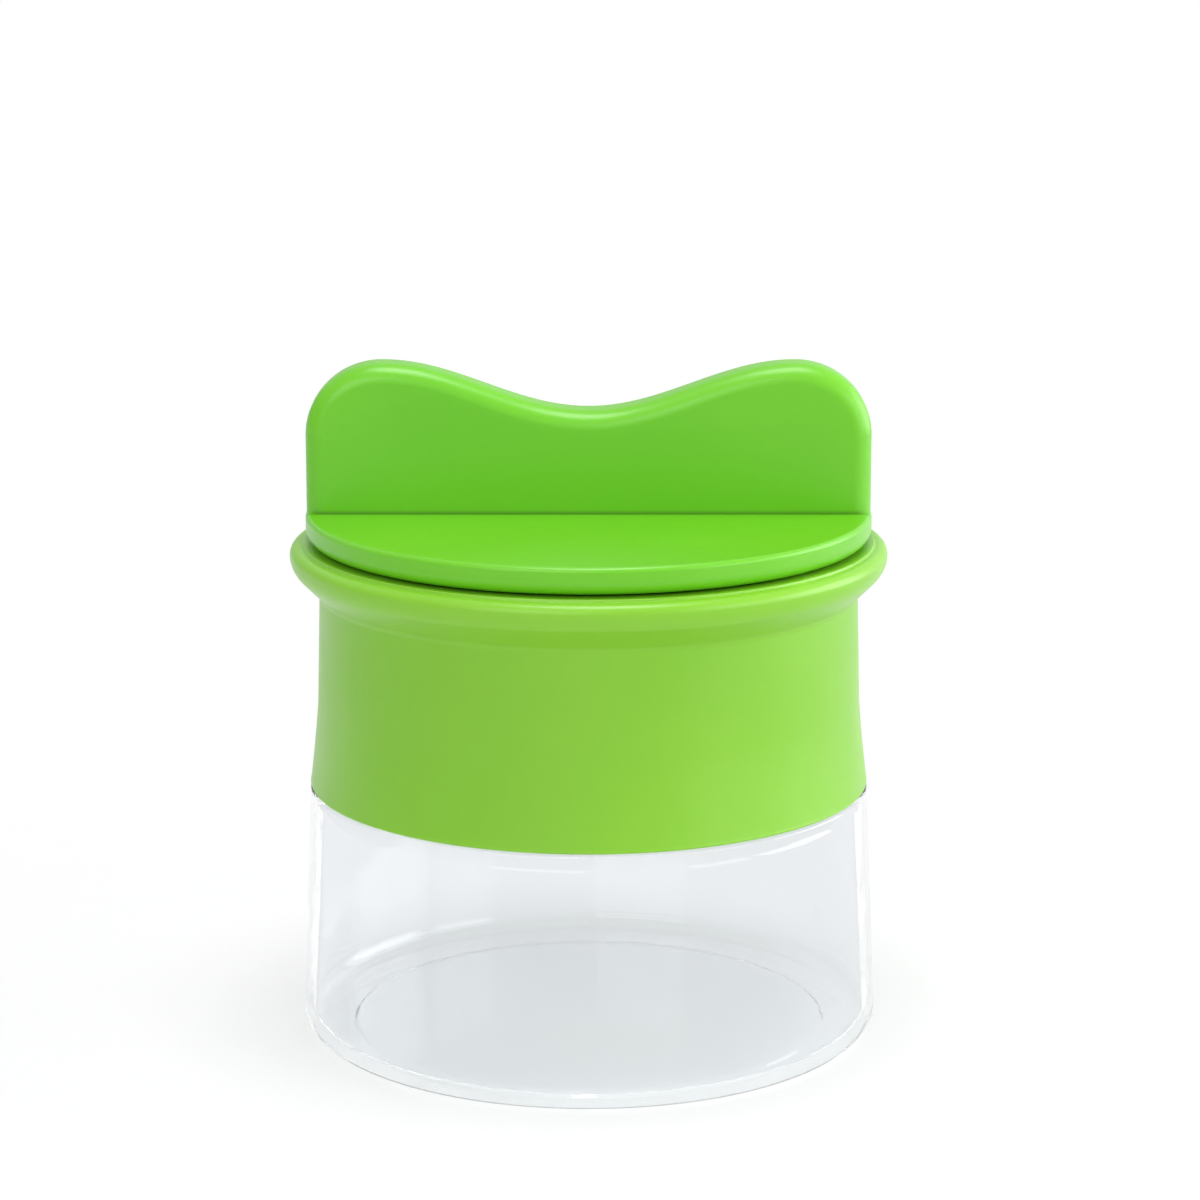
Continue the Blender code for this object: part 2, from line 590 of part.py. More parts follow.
def make_holder_screws(material):
    return [make_screw(f"holder_screw_{number}", at, WEB_BOTTOM, DISC_BOTTOM + HOLDER_SCREW_BITE, material)
            for number, at in enumerate(holder_screw_places(), 1)]


def wing_outline(base):
    """The wing's front outline from base up: round shoulders and a cosine saddle between two humps."""
    shoulder = DISC_TOP + WING_HEIGHT - WING_SHOULDER
    reach = WING_REACH - HUMP_OFFSET
    right = [(WING_REACH, base)]
    for step in range(SHOULDER_STEPS + 1):
        angle = radians(90 * step / SHOULDER_STEPS)
        right.append((HUMP_OFFSET + reach * cos(angle), shoulder + WING_SHOULDER * sin(angle)))
    for step in range(1, SADDLE_STEPS):
        x = HUMP_OFFSET * (1 - step / SADDLE_STEPS)
        drop = WING_DIP * (1 + cos(pi * x / HUMP_OFFSET)) / 2
        right.append((x, DISC_TOP + WING_HEIGHT - drop))
    middle = [(0.0, DISC_TOP + WING_HEIGHT - WING_DIP)]
    left = [(-x, z) for x, z in reversed(right)]
    return right + middle + left


def make_wing(base):
    outline = wing_outline(base)
    half = WING_THICKNESS / 2
    wing = loft("wing", [[(x, y, z) for x, z in outline] for y in (half, -half)])
    bm = bmesh.new()
    bm.from_mesh(wing.data)
    rounded = [edge for edge in bm.edges if abs(edge.verts[0].co.y - edge.verts[1].co.y) < SAME_POINT
               and max(vert.co.z for vert in edge.verts) > base + SAME_POINT]
    bmesh.ops.bevel(bm, geom=rounded, offset=WING_ROUND, offset_type="OFFSET", segments=ROUND_STEPS,
                    profile=0.5, affect="EDGES", clamp_overlap=True)
    bm.to_mesh(wing.data)
    bm.free()
    return wing


def make_grip_cap(material):
    """The round lid and its upright wing, moulded in one, with the wing cored out from below."""
    profile = [(0.0, DISC_BOTTOM)]
    profile += arc(DISC_RADIUS - DISC_UNDER_ROUND, DISC_BOTTOM + DISC_UNDER_ROUND, DISC_UNDER_ROUND,
                   -90, 0, CORNER_STEPS)
    profile += arc(DISC_RADIUS - DISC_TOP_ROUND, DISC_TOP - DISC_TOP_ROUND, DISC_TOP_ROUND,
                   0, 90, ROUND_STEPS)
    profile += [(0.0, DISC_TOP)]
    cap = lathe("grip_cap", profile)
    combine(cap, "UNION", [make_wing(DISC_TOP - DISC_TOP_ROUND - OVERLAP)])
    half = WING_THICKNESS / 2 - WING_WALL
    cores = [box("core", (low, -half, DISC_BOTTOM - PAST), (high, half, DISC_TOP + WING_CORE_HEIGHT))
             for low, high in ((WING_CORE_START, WING_CORE_END), (-WING_CORE_END, -WING_CORE_START))]
    pilots = [hole(SCREW_HOLE, DISC_BOTTOM - PAST, DISC_BOTTOM + HOLDER_SCREW_BITE + GAP, at)
              for at in holder_screw_places()]
    combine(cap, "DIFFERENCE", cores + pilots)
    return finish(cap, material)


def make_tooth(degrees):
    """A fin across the radius: upright on its driving side, slanted behind, and drawn to a narrow tip."""
    root = WEB_BOTTOM + OVERLAP
    tip = HOLDER_BOTTOM - TOOTH_LENGTH
    half_thick = TOOTH_THICKNESS / 2
    half_tip = TOOTH_TIP_THICKNESS / 2
    lead = -TOOTH_WIDTH / 2
    sections = []
    for height, width, half in ((root, TOOTH_WIDTH, half_thick), (tip, TOOTH_TIP_WIDTH, half_tip)):
        inner, outer = TOOTH_CIRCLE - half, TOOTH_CIRCLE + half
        ring = [(inner, lead), (outer, lead), (outer, lead + width), (inner, lead + width)]
        turn = Matrix.Rotation(radians(degrees), 4, "Z")
        sections.append([tuple(turn @ Matrix.Translation((x, y, height)).to_translation()) for x, y in ring])
    return loft("tooth", sections)


def make_food_holder(material):
    core = HOLDER_RADIUS - HOLDER_RELIEF
    lip_top = HOLDER_BOTTOM + HOLDER_LIP
    inner = HOLDER_RADIUS - HOLDER_WALL
    spike_hole = SPIKE_RADIUS + GAP
    head_hole = SPIKE_HEAD + GAP
    head_floor = HOLDER_TOP - SPIKE_HEAD_HEIGHT - GAP
    profile = [(core, HOLDER_TOP), (core, lip_top), (HOLDER_RADIUS, lip_top), (HOLDER_RADIUS, HOLDER_BOTTOM)]
    profile += [(inner, HOLDER_BOTTOM), (inner, WEB_BOTTOM), (HOLDER_BOSS + BOSS_DRAFT, WEB_BOTTOM)]
    profile += [(HOLDER_BOSS, HOLDER_BOTTOM), (spike_hole, HOLDER_BOTTOM), (spike_hole, head_floor)]
    profile += [(head_hole, head_floor), (head_hole, HOLDER_TOP)]
    holder = lathe("food_holder", profile)
    step = 360.0 / HOLDER_RIB_COUNT
    ribs = [box("rib", (core - OVERLAP, -HOLDER_RIB_WIDTH / 2, lip_top - OVERLAP),
                (HOLDER_RADIUS - HOLDER_RIB_SETBACK, HOLDER_RIB_WIDTH / 2, HOLDER_TOP - HOLDER_RIB_SETBACK),
                (i + 0.5) * step)
            for i in range(HOLDER_RIB_COUNT)]
    tooth_angles = [i * 360.0 / TOOTH_COUNT for i in range(TOOTH_COUNT)]
    spokes = [box("spoke", (HOLDER_BOSS - OVERLAP, -SPOKE_THICKNESS / 2, HOLDER_BOTTOM + HOLDER_LIP / 2),
                  (inner + OVERLAP, SPOKE_THICKNESS / 2, WEB_BOTTOM + OVERLAP), angle)
              for angle in tooth_angles]
    combine(holder, "UNION", ribs)
    combine(holder, "UNION", spokes)
    combine(holder, "UNION", [make_tooth(angle) for angle in tooth_angles])
    holes = [hole(SCREW_HOLE, WEB_BOTTOM - PAST, HOLDER_TOP + PAST, at) for at in holder_screw_places()]
    combine(holder, "DIFFERENCE", holes)
    return finish(holder, material)


def make_centre_spike(material):
    tip = HOLDER_BOTTOM - SPIKE_LENGTH
    head_low = HOLDER_TOP - SPIKE_HEAD_HEIGHT
    profile = [(0.0, tip), (SPIKE_TIP, tip), (SPIKE_RADIUS, tip + SPIKE_POINT), (SPIKE_RADIUS, head_low),
               (SPIKE_HEAD, head_low), (SPIKE_HEAD, HOLDER_TOP), (0.0, HOLDER_TOP)]
    return finish(lathe("centre_spike", profile, SMALL_SEGMENTS), material)


def hang_on(name, height, pieces):
    """Parent pieces that move together to an empty on their joint's axis, and leave them in place."""
    pivot = bpy.data.objects.new(name, None)
    pivot.location.z = height
    bpy.context.collection.objects.link(pivot)
    for piece in pieces:
        piece.parent = pivot
        piece.matrix_parent_inverse = Matrix.Translation((0.0, 0.0, -height))


def main():
    clear_scene()
    green = make_material("green_abs", (0.21, 0.56, 0.045), 0.28)
    clear = make_material("clear_plastic", (0.93, 0.95, 0.96), 0.06, alpha=0.25)
    steel = make_material("stainless_steel", (0.62, 0.63, 0.65), 0.25, metallic=1.0)
    zinc = make_material("zinc_plated_steel", (0.55, 0.56, 0.58), 0.38, metallic=1.0)
    make_container(clear)
    cutter = [make_cutter_body(green), make_blade_plate(green), make_slicing_blade(steel),
              make_slitting_comb(steel), make_coring_tube(steel)]
    hang_on("cutter_axis", SEAM_HEIGHT, cutter + make_rivets(steel) + make_plate_screws(zinc))
    hang_on("spike_axis", HOLDER_TOP, [make_centre_spike(steel)])
    grip = [make_grip_cap(green), make_food_holder(green)]
    hang_on("grip_axis", DISC_BOTTOM, grip + make_holder_screws(zinc))


main()
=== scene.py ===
"""Looks of the spiralizer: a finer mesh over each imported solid, the materials, the light and the camera.

All sizes are in metres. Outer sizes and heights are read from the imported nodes. The values below are
the walls, rounds and fine details that the boxes of the nodes don't give.
"""

from math import atan2, ceil, cos, pi, radians, sin, tan, tau

import bmesh
import bpy
from mathutils import Matrix, Vector


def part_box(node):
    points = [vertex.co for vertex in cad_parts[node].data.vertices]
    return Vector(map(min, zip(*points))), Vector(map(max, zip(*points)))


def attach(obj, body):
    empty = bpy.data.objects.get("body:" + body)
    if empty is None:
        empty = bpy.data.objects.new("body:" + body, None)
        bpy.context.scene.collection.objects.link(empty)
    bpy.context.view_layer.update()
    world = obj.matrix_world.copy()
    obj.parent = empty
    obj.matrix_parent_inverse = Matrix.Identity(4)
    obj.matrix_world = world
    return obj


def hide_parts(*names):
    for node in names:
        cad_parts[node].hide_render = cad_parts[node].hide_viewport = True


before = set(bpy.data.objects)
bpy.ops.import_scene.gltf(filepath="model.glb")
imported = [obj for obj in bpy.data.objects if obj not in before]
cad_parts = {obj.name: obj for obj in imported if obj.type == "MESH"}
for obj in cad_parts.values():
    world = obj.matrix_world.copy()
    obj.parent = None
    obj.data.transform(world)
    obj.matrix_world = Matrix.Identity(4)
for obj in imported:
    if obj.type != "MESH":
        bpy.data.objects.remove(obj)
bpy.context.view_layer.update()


def low(node, axis=2):
    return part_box(node)[0][axis]


def high(node, axis=2):
    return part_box(node)[1][axis]


# Facets
SEGMENTS = 192  # round the large turned pieces
SMALL_SEGMENTS = 48  # round screws, rivets, spike and tube
ROUND_STEP = radians(9.0)  # largest turn between two facets of a rounded corner
SAME_POINT = 1e-6
PAST = 0.0020  # how far a cutter runs past what it cuts
OVERLAP = 0.0005  # how far joined shapes run into each other
GAP = 0.0003  # clearance between pieces that seat on or in each other

# Container
CONTAINER_RADIUS = high("container", 0)
NECK_TOP = high("container")
CONTAINER_CORNER = 0.0043
CONTAINER_WALL = 0.0020
CONTAINER_FLOOR = 0.0022
FOOT_WIDTH = 0.0040
FOOT_RECESS = 0.0007
NECK_WALL = 0.0018
KEY_COUNT = 3
KEY_WIDTH = 0.0050
KEY_DEPTH = 0.0008
KEY_MARGIN = 0.0008  # from each end of the neck
KEY_START = 30.0  # degrees from the X axis to the first key

# Cutter body
SEAM_HEIGHT = low("cutter_body")
RIM_TOP = high("cutter_body")
RIM_RADIUS = high("cutter_body", 0)
PLATE_RADIUS = high("blade_plate", 0)
BORE_RADIUS = PLATE_RADIUS + GAP
THROAT_RADIUS = BORE_RADIUS + 0.0028
WAIST_RADIUS = THROAT_RADIUS + 0.00045
SEAM_RADIUS = WAIST_RADIUS + 0.0014
SKIRT_BORE = SEAM_RADIUS - 0.0028
NECK_RADIUS = SKIRT_BORE - GAP
NECK_BORE = NECK_RADIUS - NECK_WALL
MOUTH_RADIUS = BORE_RADIUS + 0.0016
FLARE_HEIGHT = 0.0140
FLARE_CURVE = 1.25
FLARE_STEPS = 20
RIM_UNDER_ROUND = 0.0040
RIM_TOP_ROUND = 0.0016
RIM_FILLET = 0.0016
RIM_STEP = 0.0004
MOUTH_ROUND = 0.0006
LEAD_IN_DEPTH = 0.0017
LEDGE_RADIUS = BORE_RADIUS - 0.0053
LEDGE_BOTTOM = NECK_TOP + GAP
EDGE = 0.0003  # soft edge on moulded corners

# Blade plate and steel parts
PLATE_BOTTOM = low("blade_plate")
PLATE_UNDER = PLATE_BOTTOM + GAP
LEDGE_TOP = PLATE_BOTTOM - GAP
FLANGE_TOP = high("blade_plate")
FLANGE_INNER = PLATE_RADIUS - 0.0048
SLICE_THICKNESS = 0.0025
PLATE_WALL = 0.0024
RAMP_HIGH = FLANGE_TOP - 0.0006
RAMP_LOW = RAMP_HIGH - SLICE_THICKNESS
HUB_RADIUS = 0.0068
HUB_STOP = 0.0006
STEP_HALF_ANGLE = 0.004  # radians from the X axis to each side of the floor's step
FLOOR_RINGS = 10  # steps along the radius, which keep the shading even round the cuts
FLANGE_EDGE = 0.00025
SLOT_WIDTH = 0.0064
SLOT_INSET = 0.0006
BED_END = -0.0007
RIB_THICKNESS = 0.0014
RIB_ANGLES = (90.0, 180.0, 270.0)
BLADE_BEVEL = 0.0016
BLADE_TIP = 0.0001
BLADE_EDGE = 0.00004
GROUND_FACING = 0.2  # how far a face leans forward and down to count as the ground bevel
TUBE_WALL = 0.0005
TUBE_BEVEL = 0.0010
COMB_THICKNESS = 0.0005
COMB_EDGE = 0.00005
FIN_INSET = 0.0017
FIN_PITCH = 0.0030
FIN_LENGTH = 0.0026
SCREW_SHANK = 0.0011
SCREW_HEAD_HEIGHT = 0.0013
SCREW_HOLE = SCREW_SHANK + GAP
CROSS_WIDTH = 0.0005
CROSS_SPAN = 0.0022
CROSS_DEPTH = 0.0006
RIVET_SHANK = 0.0008
RIVET_HEAD_HEIGHT = 0.0006
RIVET_DIMPLE = 0.00012
RIVET_TAIL = 0.0014
RIVET_TAIL_HEIGHT = 0.0007
PLATE_SCREW_BITE = 0.0036
HOLDER_SCREW_BITE = 0.0030

# Grip and food holder
DISC_BOTTOM = low("grip_cap")
WING_TOP = high("grip_cap")
DISC_RADIUS = high("grip_cap", 1)
DISC_TOP = DISC_BOTTOM + 0.0044
DISC_TOP_ROUND = 0.0013
DISC_UNDER_ROUND = 0.0028
WING_REACH = DISC_RADIUS - 0.0002
WING_THICKNESS = 0.0090
WING_DIP = 0.0075
WING_SHOULDER = 0.0116
WING_SHOULDER_WIDTH = 0.0121
WING_ROUND = 0.0030
WING_FOOT_SHADE = 0.0007  # width of the painted shade line in the crease where the wing meets the lid
HUMP_OFFSET = WING_REACH - WING_SHOULDER_WIDTH
WING_WALL = 0.0022
WING_CORE_HEIGHT = 0.0120
WING_CORE_START = 0.0050
WING_CORE_END = WING_REACH - 0.0108
SHOULDER_STEPS = 28
SADDLE_STEPS = 36
HOLDER_RADIUS = high("food_holder", 0)
HOLDER_TOP = high("food_holder")
TOOTH_TIP = low("food_holder")
HOLDER_BOTTOM = HOLDER_TOP - 0.0031
WEB_BOTTOM = HOLDER_TOP - 0.0015
HOLDER_RELIEF = 0.0006
HOLDER_LIP = 0.0010
HOLDER_WALL = 0.0020
HOLDER_BOSS = 0.0046
HOLDER_RIB_COUNT = 20
HOLDER_RIB_WIDTH = 0.0016
HOLDER_RIB_SETBACK = 0.0001
SPOKE_THICKNESS = 0.0012
TOOTH_COUNT = 8
TOOTH_CIRCLE = HOLDER_RADIUS - 0.0129
TOOTH_WIDTH = 0.0050
TOOTH_THICKNESS = 0.0016
TOOTH_TIP_WIDTH = 0.0008
TOOTH_TIP_THICKNESS = 0.0007
SPIKE_RADIUS = 0.0015
SPIKE_HEAD_HEIGHT = 0.0010
SPIKE_POINT = 0.0045
SPIKE_TIP = 0.0003

# Light
WORLD_LIGHT = 0.45  # how strongly the white surroundings light the object
REFLECTED_LEFT = 0.45  # what shiny surfaces see low at the left, against white at the right and above
LEFT_TO_RIGHT = (-0.5, 0.5)  # the directions' X between which that turns white
LOW_TO_HIGH = (0.2, 0.6)  # and their Z
LAMPS = (  # name, place, height of the point it is aimed at on the axis, size, watts
    ("side", (0.97, 0.18, 0.22), 0.06, (0.8, 0.8), 8.0),
    ("half_side", (0.85, -0.55, 0.26), 0.06, (0.5, 0.8), 3.0),
    ("front", (-0.45, -1.10, 0.62), 0.06, (0.9, 0.7), 4.8),
    ("top", (0.05, -0.12, 1.10), 0.05, (0.5, 0.5), 6.6))
FLOOR_HALF_SIZE = 6.0
FLOOR_TOP = -0.0001
FLOOR_THICKNESS = 0.01
FLOOR_COLOUR = (0.84, 0.84, 0.85)
FLOOR_FADE = (0.05, 0.20)  # distance from the axis over which the floor turns plain white
FLOOR_NEAR = 0.50  # how white it is inside that distance, so that the shadow stays faint

# Camera
CAMERA_PLACE = (0.001805, -0.60025, 0.20579)
CAMERA_DOWN = 12.732  # degrees below level
CAMERA_LENS = 115.26  # millimetres, on a sensor of the width below
SENSOR_WIDTH = 36.0


# Mesh helpers

def object_from(name, bm):
    bmesh.ops.recalc_face_normals(bm, faces=bm.faces[:])
    mesh = bpy.data.meshes.new(name)
    bm.to_mesh(mesh)
    bm.free()
    item = bpy.data.objects.new(name, mesh)
    bpy.context.scene.collection.objects.link(item)
    return item


def arc(centre_r, centre_z, radius, start, end):
    """Points on a round corner of a profile, from start to end degrees."""
    steps = max(2, ceil(abs(radians(end - start)) / ROUND_STEP))
    angles = [radians(start + (end - start) * i / steps) for i in range(steps + 1)]
    return [(centre_r + radius * cos(a), centre_z + radius * sin(a)) for a in angles]


def rounded(corners):
    """A closed outline of (r, z, radius) corners, each replaced by an arc that fits between its sides."""
    points = []
    for i, (r, z, radius) in enumerate(corners):
        here = Vector((r, z))
        before = Vector(corners[i - 1][:2]) - here
        after = Vector(corners[(i + 1) % len(corners)][:2]) - here
        half = before.angle(after) / 2
        if radius <= 0.0 or half > pi / 2 - 0.01:
            points.append((r, z))
            continue
        back = min(radius / tan(half), 0.49 * before.length, 0.49 * after.length)
        radius = back * tan(half)
        before.normalize()
        after.normalize()
        centre = here + (before + after).normalized() * radius / sin(half)
        arm = here + before * back - centre
        turn = pi - 2 * half
        if before.x * after.y - before.y * after.x > 0:
            turn = -turn
        steps = max(2, ceil(abs(turn) / ROUND_STEP))
        for step in range(steps + 1):
            angle = turn * step / steps
            points.append((centre.x + arm.x * cos(angle) - arm.y * sin(angle),
                           centre.y + arm.x * sin(angle) + arm.y * cos(angle)))
    return points


def lathe(name, profile, segments=SEGMENTS, at=(0.0, 0.0)):
    """Spin a closed profile of (radius, height) points round a vertical line through at."""
    bm = bmesh.new()
    points = [bm.verts.new((r, 0.0, z)) for r, z in profile]
    edges = [bm.edges.new(pair) for pair in zip(points, points[1:])]
    if profile[0][0] > 0.0 or profile[-1][0] > 0.0:
        edges.append(bm.edges.new((points[-1], points[0])))
    bmesh.ops.spin(bm, geom=points + edges, cent=(0, 0, 0), axis=(0, 0, 1), angle=tau,
                   steps=segments, use_merge=True)
    bmesh.ops.remove_doubles(bm, verts=bm.verts[:], dist=SAME_POINT)
    bmesh.ops.translate(bm, verts=bm.verts[:], vec=(at[0], at[1], 0.0))
    return object_from(name, bm)


def box(name, low_corner, high_corner, turn=0.0):
    """A box between two corners, turned about the Z axis by turn degrees."""
    bm = bmesh.new()
    bmesh.ops.create_cube(bm, size=1.0)
    size = [b - a for a, b in zip(low_corner, high_corner)]
    middle = [(a + b) / 2 for a, b in zip(low_corner, high_corner)]
    placed = Matrix.Rotation(radians(turn), 4, "Z") @ Matrix.Translation(middle)
    bmesh.ops.transform(bm, matrix=placed @ Matrix.Diagonal((*size, 1.0)), verts=bm.verts[:])
    return object_from(name, bm)


def loft(name, sections, endless=False):
    """Join closed sections, each a list of as many points: with both ends capped, or last to first."""
    bm = bmesh.new()
    rings = [[bm.verts.new(point) for point in section] for section in sections]
    followers = rings[1:] + rings[:1] if endless else rings[1:]
    for ring, following in zip(rings, followers):
        for i in range(len(ring)):
            j = (i + 1) % len(ring)
            bm.faces.new((ring[i], ring[j], following[j], following[i]))
    if endless:
        bmesh.ops.triangulate(bm, faces=bm.faces[:])
    else:
        bm.faces.new(list(reversed(rings[0])))
        bm.faces.new(rings[-1])
    return object_from(name, bm)


def combine(item, operation, tools):
    """Add the tools to the item, or cut them from it, and take the tools away."""
    bm = bmesh.new()
    for tool in tools:
        bm.from_mesh(tool.data)
        bpy.data.objects.remove(tool, do_unlink=True)
    joined = object_from("tool", bm)
    modifier = item.modifiers.new("combine", "BOOLEAN")
    modifier.operation = operation
    modifier.solver = "EXACT"
    modifier.object = joined
    graph = bpy.context.evaluated_depsgraph_get()
    result = bpy.data.meshes.new_from_object(item.evaluated_get(graph))
    item.modifiers.clear()
    item.data = result
    bpy.data.objects.remove(joined, do_unlink=True)


def soften(item, width):
    """Break the sharp corners of a flat steel piece."""
    bevel = item.modifiers.new("soft edges", "BEVEL")
    bevel.width = width
    bevel.segments = 1
    bevel.limit_method = "ANGLE"
    bevel.angle_limit = radians(60.0)
    bevel.use_clamp_overlap = True


def dress(item, material, body, node, smooth_angle=38.0):
    """Shade a finished piece, and let it stand for its node on the node's body."""
    item.data.shade_smooth()
    item.data.set_sharp_from_angle(angle=radians(smooth_angle))
    item.data.materials.clear()
    item.data.materials.append(material)
    normals = item.modifiers.new("even normals", "WEIGHTED_NORMAL")
    normals.keep_sharp = True
    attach(item, body)
    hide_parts(node)
    return item


def round_place(radius, degrees):
    return (radius * cos(radians(degrees)), radius * sin(radians(degrees)))


def centre_of(node):
    low_corner, high_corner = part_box(node)
    return ((low_corner[0] + high_corner[0]) / 2, (low_corner[1] + high_corner[1]) / 2)


def hole(radius, bottom, top, at):
    profile = [(0.0, bottom), (radius, bottom), (radius, top), (0.0, top)]
    return lathe("hole", profile, SMALL_SEGMENTS, at)


# Materials

def map_range(tree, source, start, end, low_value, high_value):
    """Map a range of a value to another, held at both ends."""
    made = tree.nodes.new("ShaderNodeMapRange")
    limits = {"From Min": start, "From Max": end, "To Min": low_value, "To Max": high_value}
    for name, value in limits.items():
        made.inputs[name].default_value = value
    tree.links.new(source, made.inputs["Value"])
    return made.outputs["Result"]


def calculate(tree, operation, *values):
    """A math node on one or two values, each a number or another node's output."""
    made = tree.nodes.new("ShaderNodeMath")
    made.operation = operation
    for value, target in zip(values, made.inputs):
        if isinstance(value, float):
            target.default_value = value
        else:
            tree.links.new(value, target)
    return made.outputs[0]


class Nodes:
    """Short calls for building one material's node tree."""

    def __init__(self, name):
        self.material = bpy.data.materials.new(name)
        self.material.use_nodes = True
        self.tree = self.material.node_tree
        self.shader = self.tree.nodes["Principled BSDF"]
        self.place = self.tree.nodes.new("ShaderNodeTexCoord").outputs["Object"]

    def node(self, kind, **settings):
        made = self.tree.nodes.new(kind)
        for key, value in settings.items():
            setattr(made, key, value)
        return made

    def link(self, source, target):
        self.tree.links.new(source, target)

    def stretched(self, scale):
        mapping = self.node("ShaderNodeMapping")
        mapping.inputs["Scale"].default_value = scale
        self.link(self.place, mapping.inputs["Vector"])
        return mapping.outputs["Vector"]

    def noise(self, scale, detail, roughness=0.55, stretch=None):
        made = self.node("ShaderNodeTexNoise")
        made.inputs["Scale"].default_value = scale
        made.inputs["Detail"].default_value = detail
        made.inputs["Roughness"].default_value = roughness
        self.link(self.stretched(stretch) if stretch else self.place, made.inputs["Vector"])
        return made.outputs["Fac"]

    def spread(self, source, start, end, low_value, high_value):
        return map_range(self.tree, source, start, end, low_value, high_value)

    def calculate(self, operation, *values):
        return calculate(self.tree, operation, *values)

    def mix(self, factor, first, second):
        made = self.node("ShaderNodeMix", data_type="RGBA")
        self.link(factor, made.inputs["Factor"])
        for key, value in (("A", first), ("B", second)):
            target = [s for s in made.inputs if s.name == key and s.type == "RGBA"][0]
            if isinstance(value, tuple):
                target.default_value = (*value, 1.0)
            else:
                self.link(value, target)
        return [s for s in made.outputs if s.type == "RGBA"][0]

    def bump(self, height, distance, strength, under=None):
        made = self.node("ShaderNodeBump")
        made.inputs["Distance"].default_value = distance
        made.inputs["Strength"].default_value = strength
        self.link(height, made.inputs["Height"])
        if under:
            self.link(under, made.inputs["Normal"])
        return made.outputs["Normal"]

    def mix_in(self, factor, other):
        """Show another shader in place of the material's own, by a factor."""
        mixed = self.node("ShaderNodeMixShader")
        self.link(factor, mixed.inputs["Fac"])
        self.link(self.shader.outputs[0], mixed.inputs[1])
        self.link(other.outputs[0], mixed.inputs[2])
        output = [n for n in self.tree.nodes if n.type == "OUTPUT_MATERIAL"][0]
        self.link(mixed.outputs["Shader"], output.inputs["Surface"])

    def let_lamps_through(self, tint):
        """Let light from the lamps pass straight through, as it would through thin clear walls."""
        path = self.node("ShaderNodeLightPath")
        clear = self.node("ShaderNodeBsdfTransparent")
        clear.inputs["Color"].default_value = (*tint, 1.0)
        self.mix_in(path.outputs["Is Shadow Ray"], clear)

    def set(self, **values):
        names = {"roughness": "Roughness", "metallic": "Metallic", "ior": "IOR", "coat": "Coat Weight",
                 "coat_roughness": "Coat Roughness", "transmission": "Transmission Weight",
                 "subsurface": "Subsurface Weight", "subsurface_scale": "Subsurface Scale",
                 "anisotropic": "Anisotropic", "specular": "Specular IOR Level"}
        for key, value in values.items():
            self.shader.inputs[names[key]].default_value = value


def crease_shade_mask(m, half_thickness, height, width):
    """A mask for painted shade in a crease: 1 along the two lines where an upright wall meets a flat top,
    fading to 0 beside them.
    """
    split = m.node("ShaderNodeSeparateXYZ")
    m.link(m.place, split.inputs[0])
    parts = []
    for axis, middle in (("Y", half_thickness), ("Z", height)):
        offset = m.calculate("SUBTRACT", m.calculate("ABSOLUTE", split.outputs[axis]), middle)
        parts.append(m.spread(m.calculate("ABSOLUTE", offset), 0.0, width, 1.0, 0.0))
    return m.calculate("MULTIPLY", *parts)


def green_plastic(name, deep, pale, roughness, line=None, shine=0.42):
    """Satin moulded plastic: clouded pigment, faint flow streaks, a painted highlight on convex edges, a
    painted shade line at a crease when one is given, and a fine tool texture.
    """
    m = Nodes(name)
    clouds = m.spread(m.noise(24.0, 1.0), 0.20, 0.80, 0.0, 1.0)
    colour = m.mix(clouds, deep, pale)
    streaks = m.spread(m.noise(1.0, 1.0, stretch=(150.0, 150.0, 12.0)), 0.30, 0.80, 0.0, 0.22)
    colour = m.mix(streaks, colour, pale)
    # painted highlight: convex edges, found by Pointiness, are lightened as if they caught the light
    geometry = m.node("ShaderNodeNewGeometry")
    edges = m.spread(geometry.outputs["Pointiness"], 0.505, 0.56, 0.0, 0.45)
    edge_highlight_colour = tuple(min(1.0, c * 1.25 + 0.03) for c in pale)
    colour = m.mix(edges, colour, edge_highlight_colour)
    # painted shade: darkens the base colour along the crease at the wing's foot
    if line:
        colour = m.mix(crease_shade_mask(m, *line), colour, tuple(c * 0.55 for c in deep))
    m.link(colour, m.shader.inputs["Base Color"])

    haze = m.spread(m.noise(1.0, 2.0, stretch=(45.0, 70.0, 95.0)), 0.35, 0.85, 0.0, 0.07)
    base = m.spread(m.noise(60.0, 2.0), 0.2, 0.8, roughness - 0.04, roughness + 0.04)
    m.link(m.calculate("ADD", base, haze), m.shader.inputs["Roughness"])

    normal = m.bump(m.noise(900.0, 2.0), 0.000012, 0.5)
    normal = m.bump(m.noise(42.0, 2.0), 0.00012, 0.20, under=normal)
    m.link(normal, m.shader.inputs["Normal"])
    m.set(ior=1.5, specular=shine, subsurface=0.12, subsurface_scale=0.002, coat=0.10, coat_roughness=0.16)
    m.shader.inputs["Subsurface Radius"].default_value = (0.5, 1.0, 0.3)
    return m.material


def clear_plastic(name):
    """Clear moulded plastic: faint ripples from the mould, and hairline scratches that catch the light."""
    m = Nodes(name)
    clouds = m.spread(m.noise(20.0, 3.0), 0.3, 0.7, 0.0, 1.0)
    m.link(m.mix(clouds, (0.906, 0.920, 0.939), (0.926, 0.938, 0.951)), m.shader.inputs["Base Color"])
    scratches = m.spread(m.noise(1.0, 4.0, stretch=(120.0, 120.0, 2600.0)), 0.62, 0.72, 0.0, 1.0)
    m.link(m.spread(scratches, 0.0, 1.0, 0.015, 0.11), m.shader.inputs["Roughness"])
    normal = m.bump(m.noise(34.0, 2.0), 0.00025, 0.22)
    normal = m.bump(scratches, 0.00001, 0.3, under=normal)
    m.link(normal, m.shader.inputs["Normal"])
    m.set(ior=1.03, transmission=1.0, coat=0.8, coat_roughness=0.03)
    m.let_lamps_through((0.97, 0.975, 0.985))
    return m.material


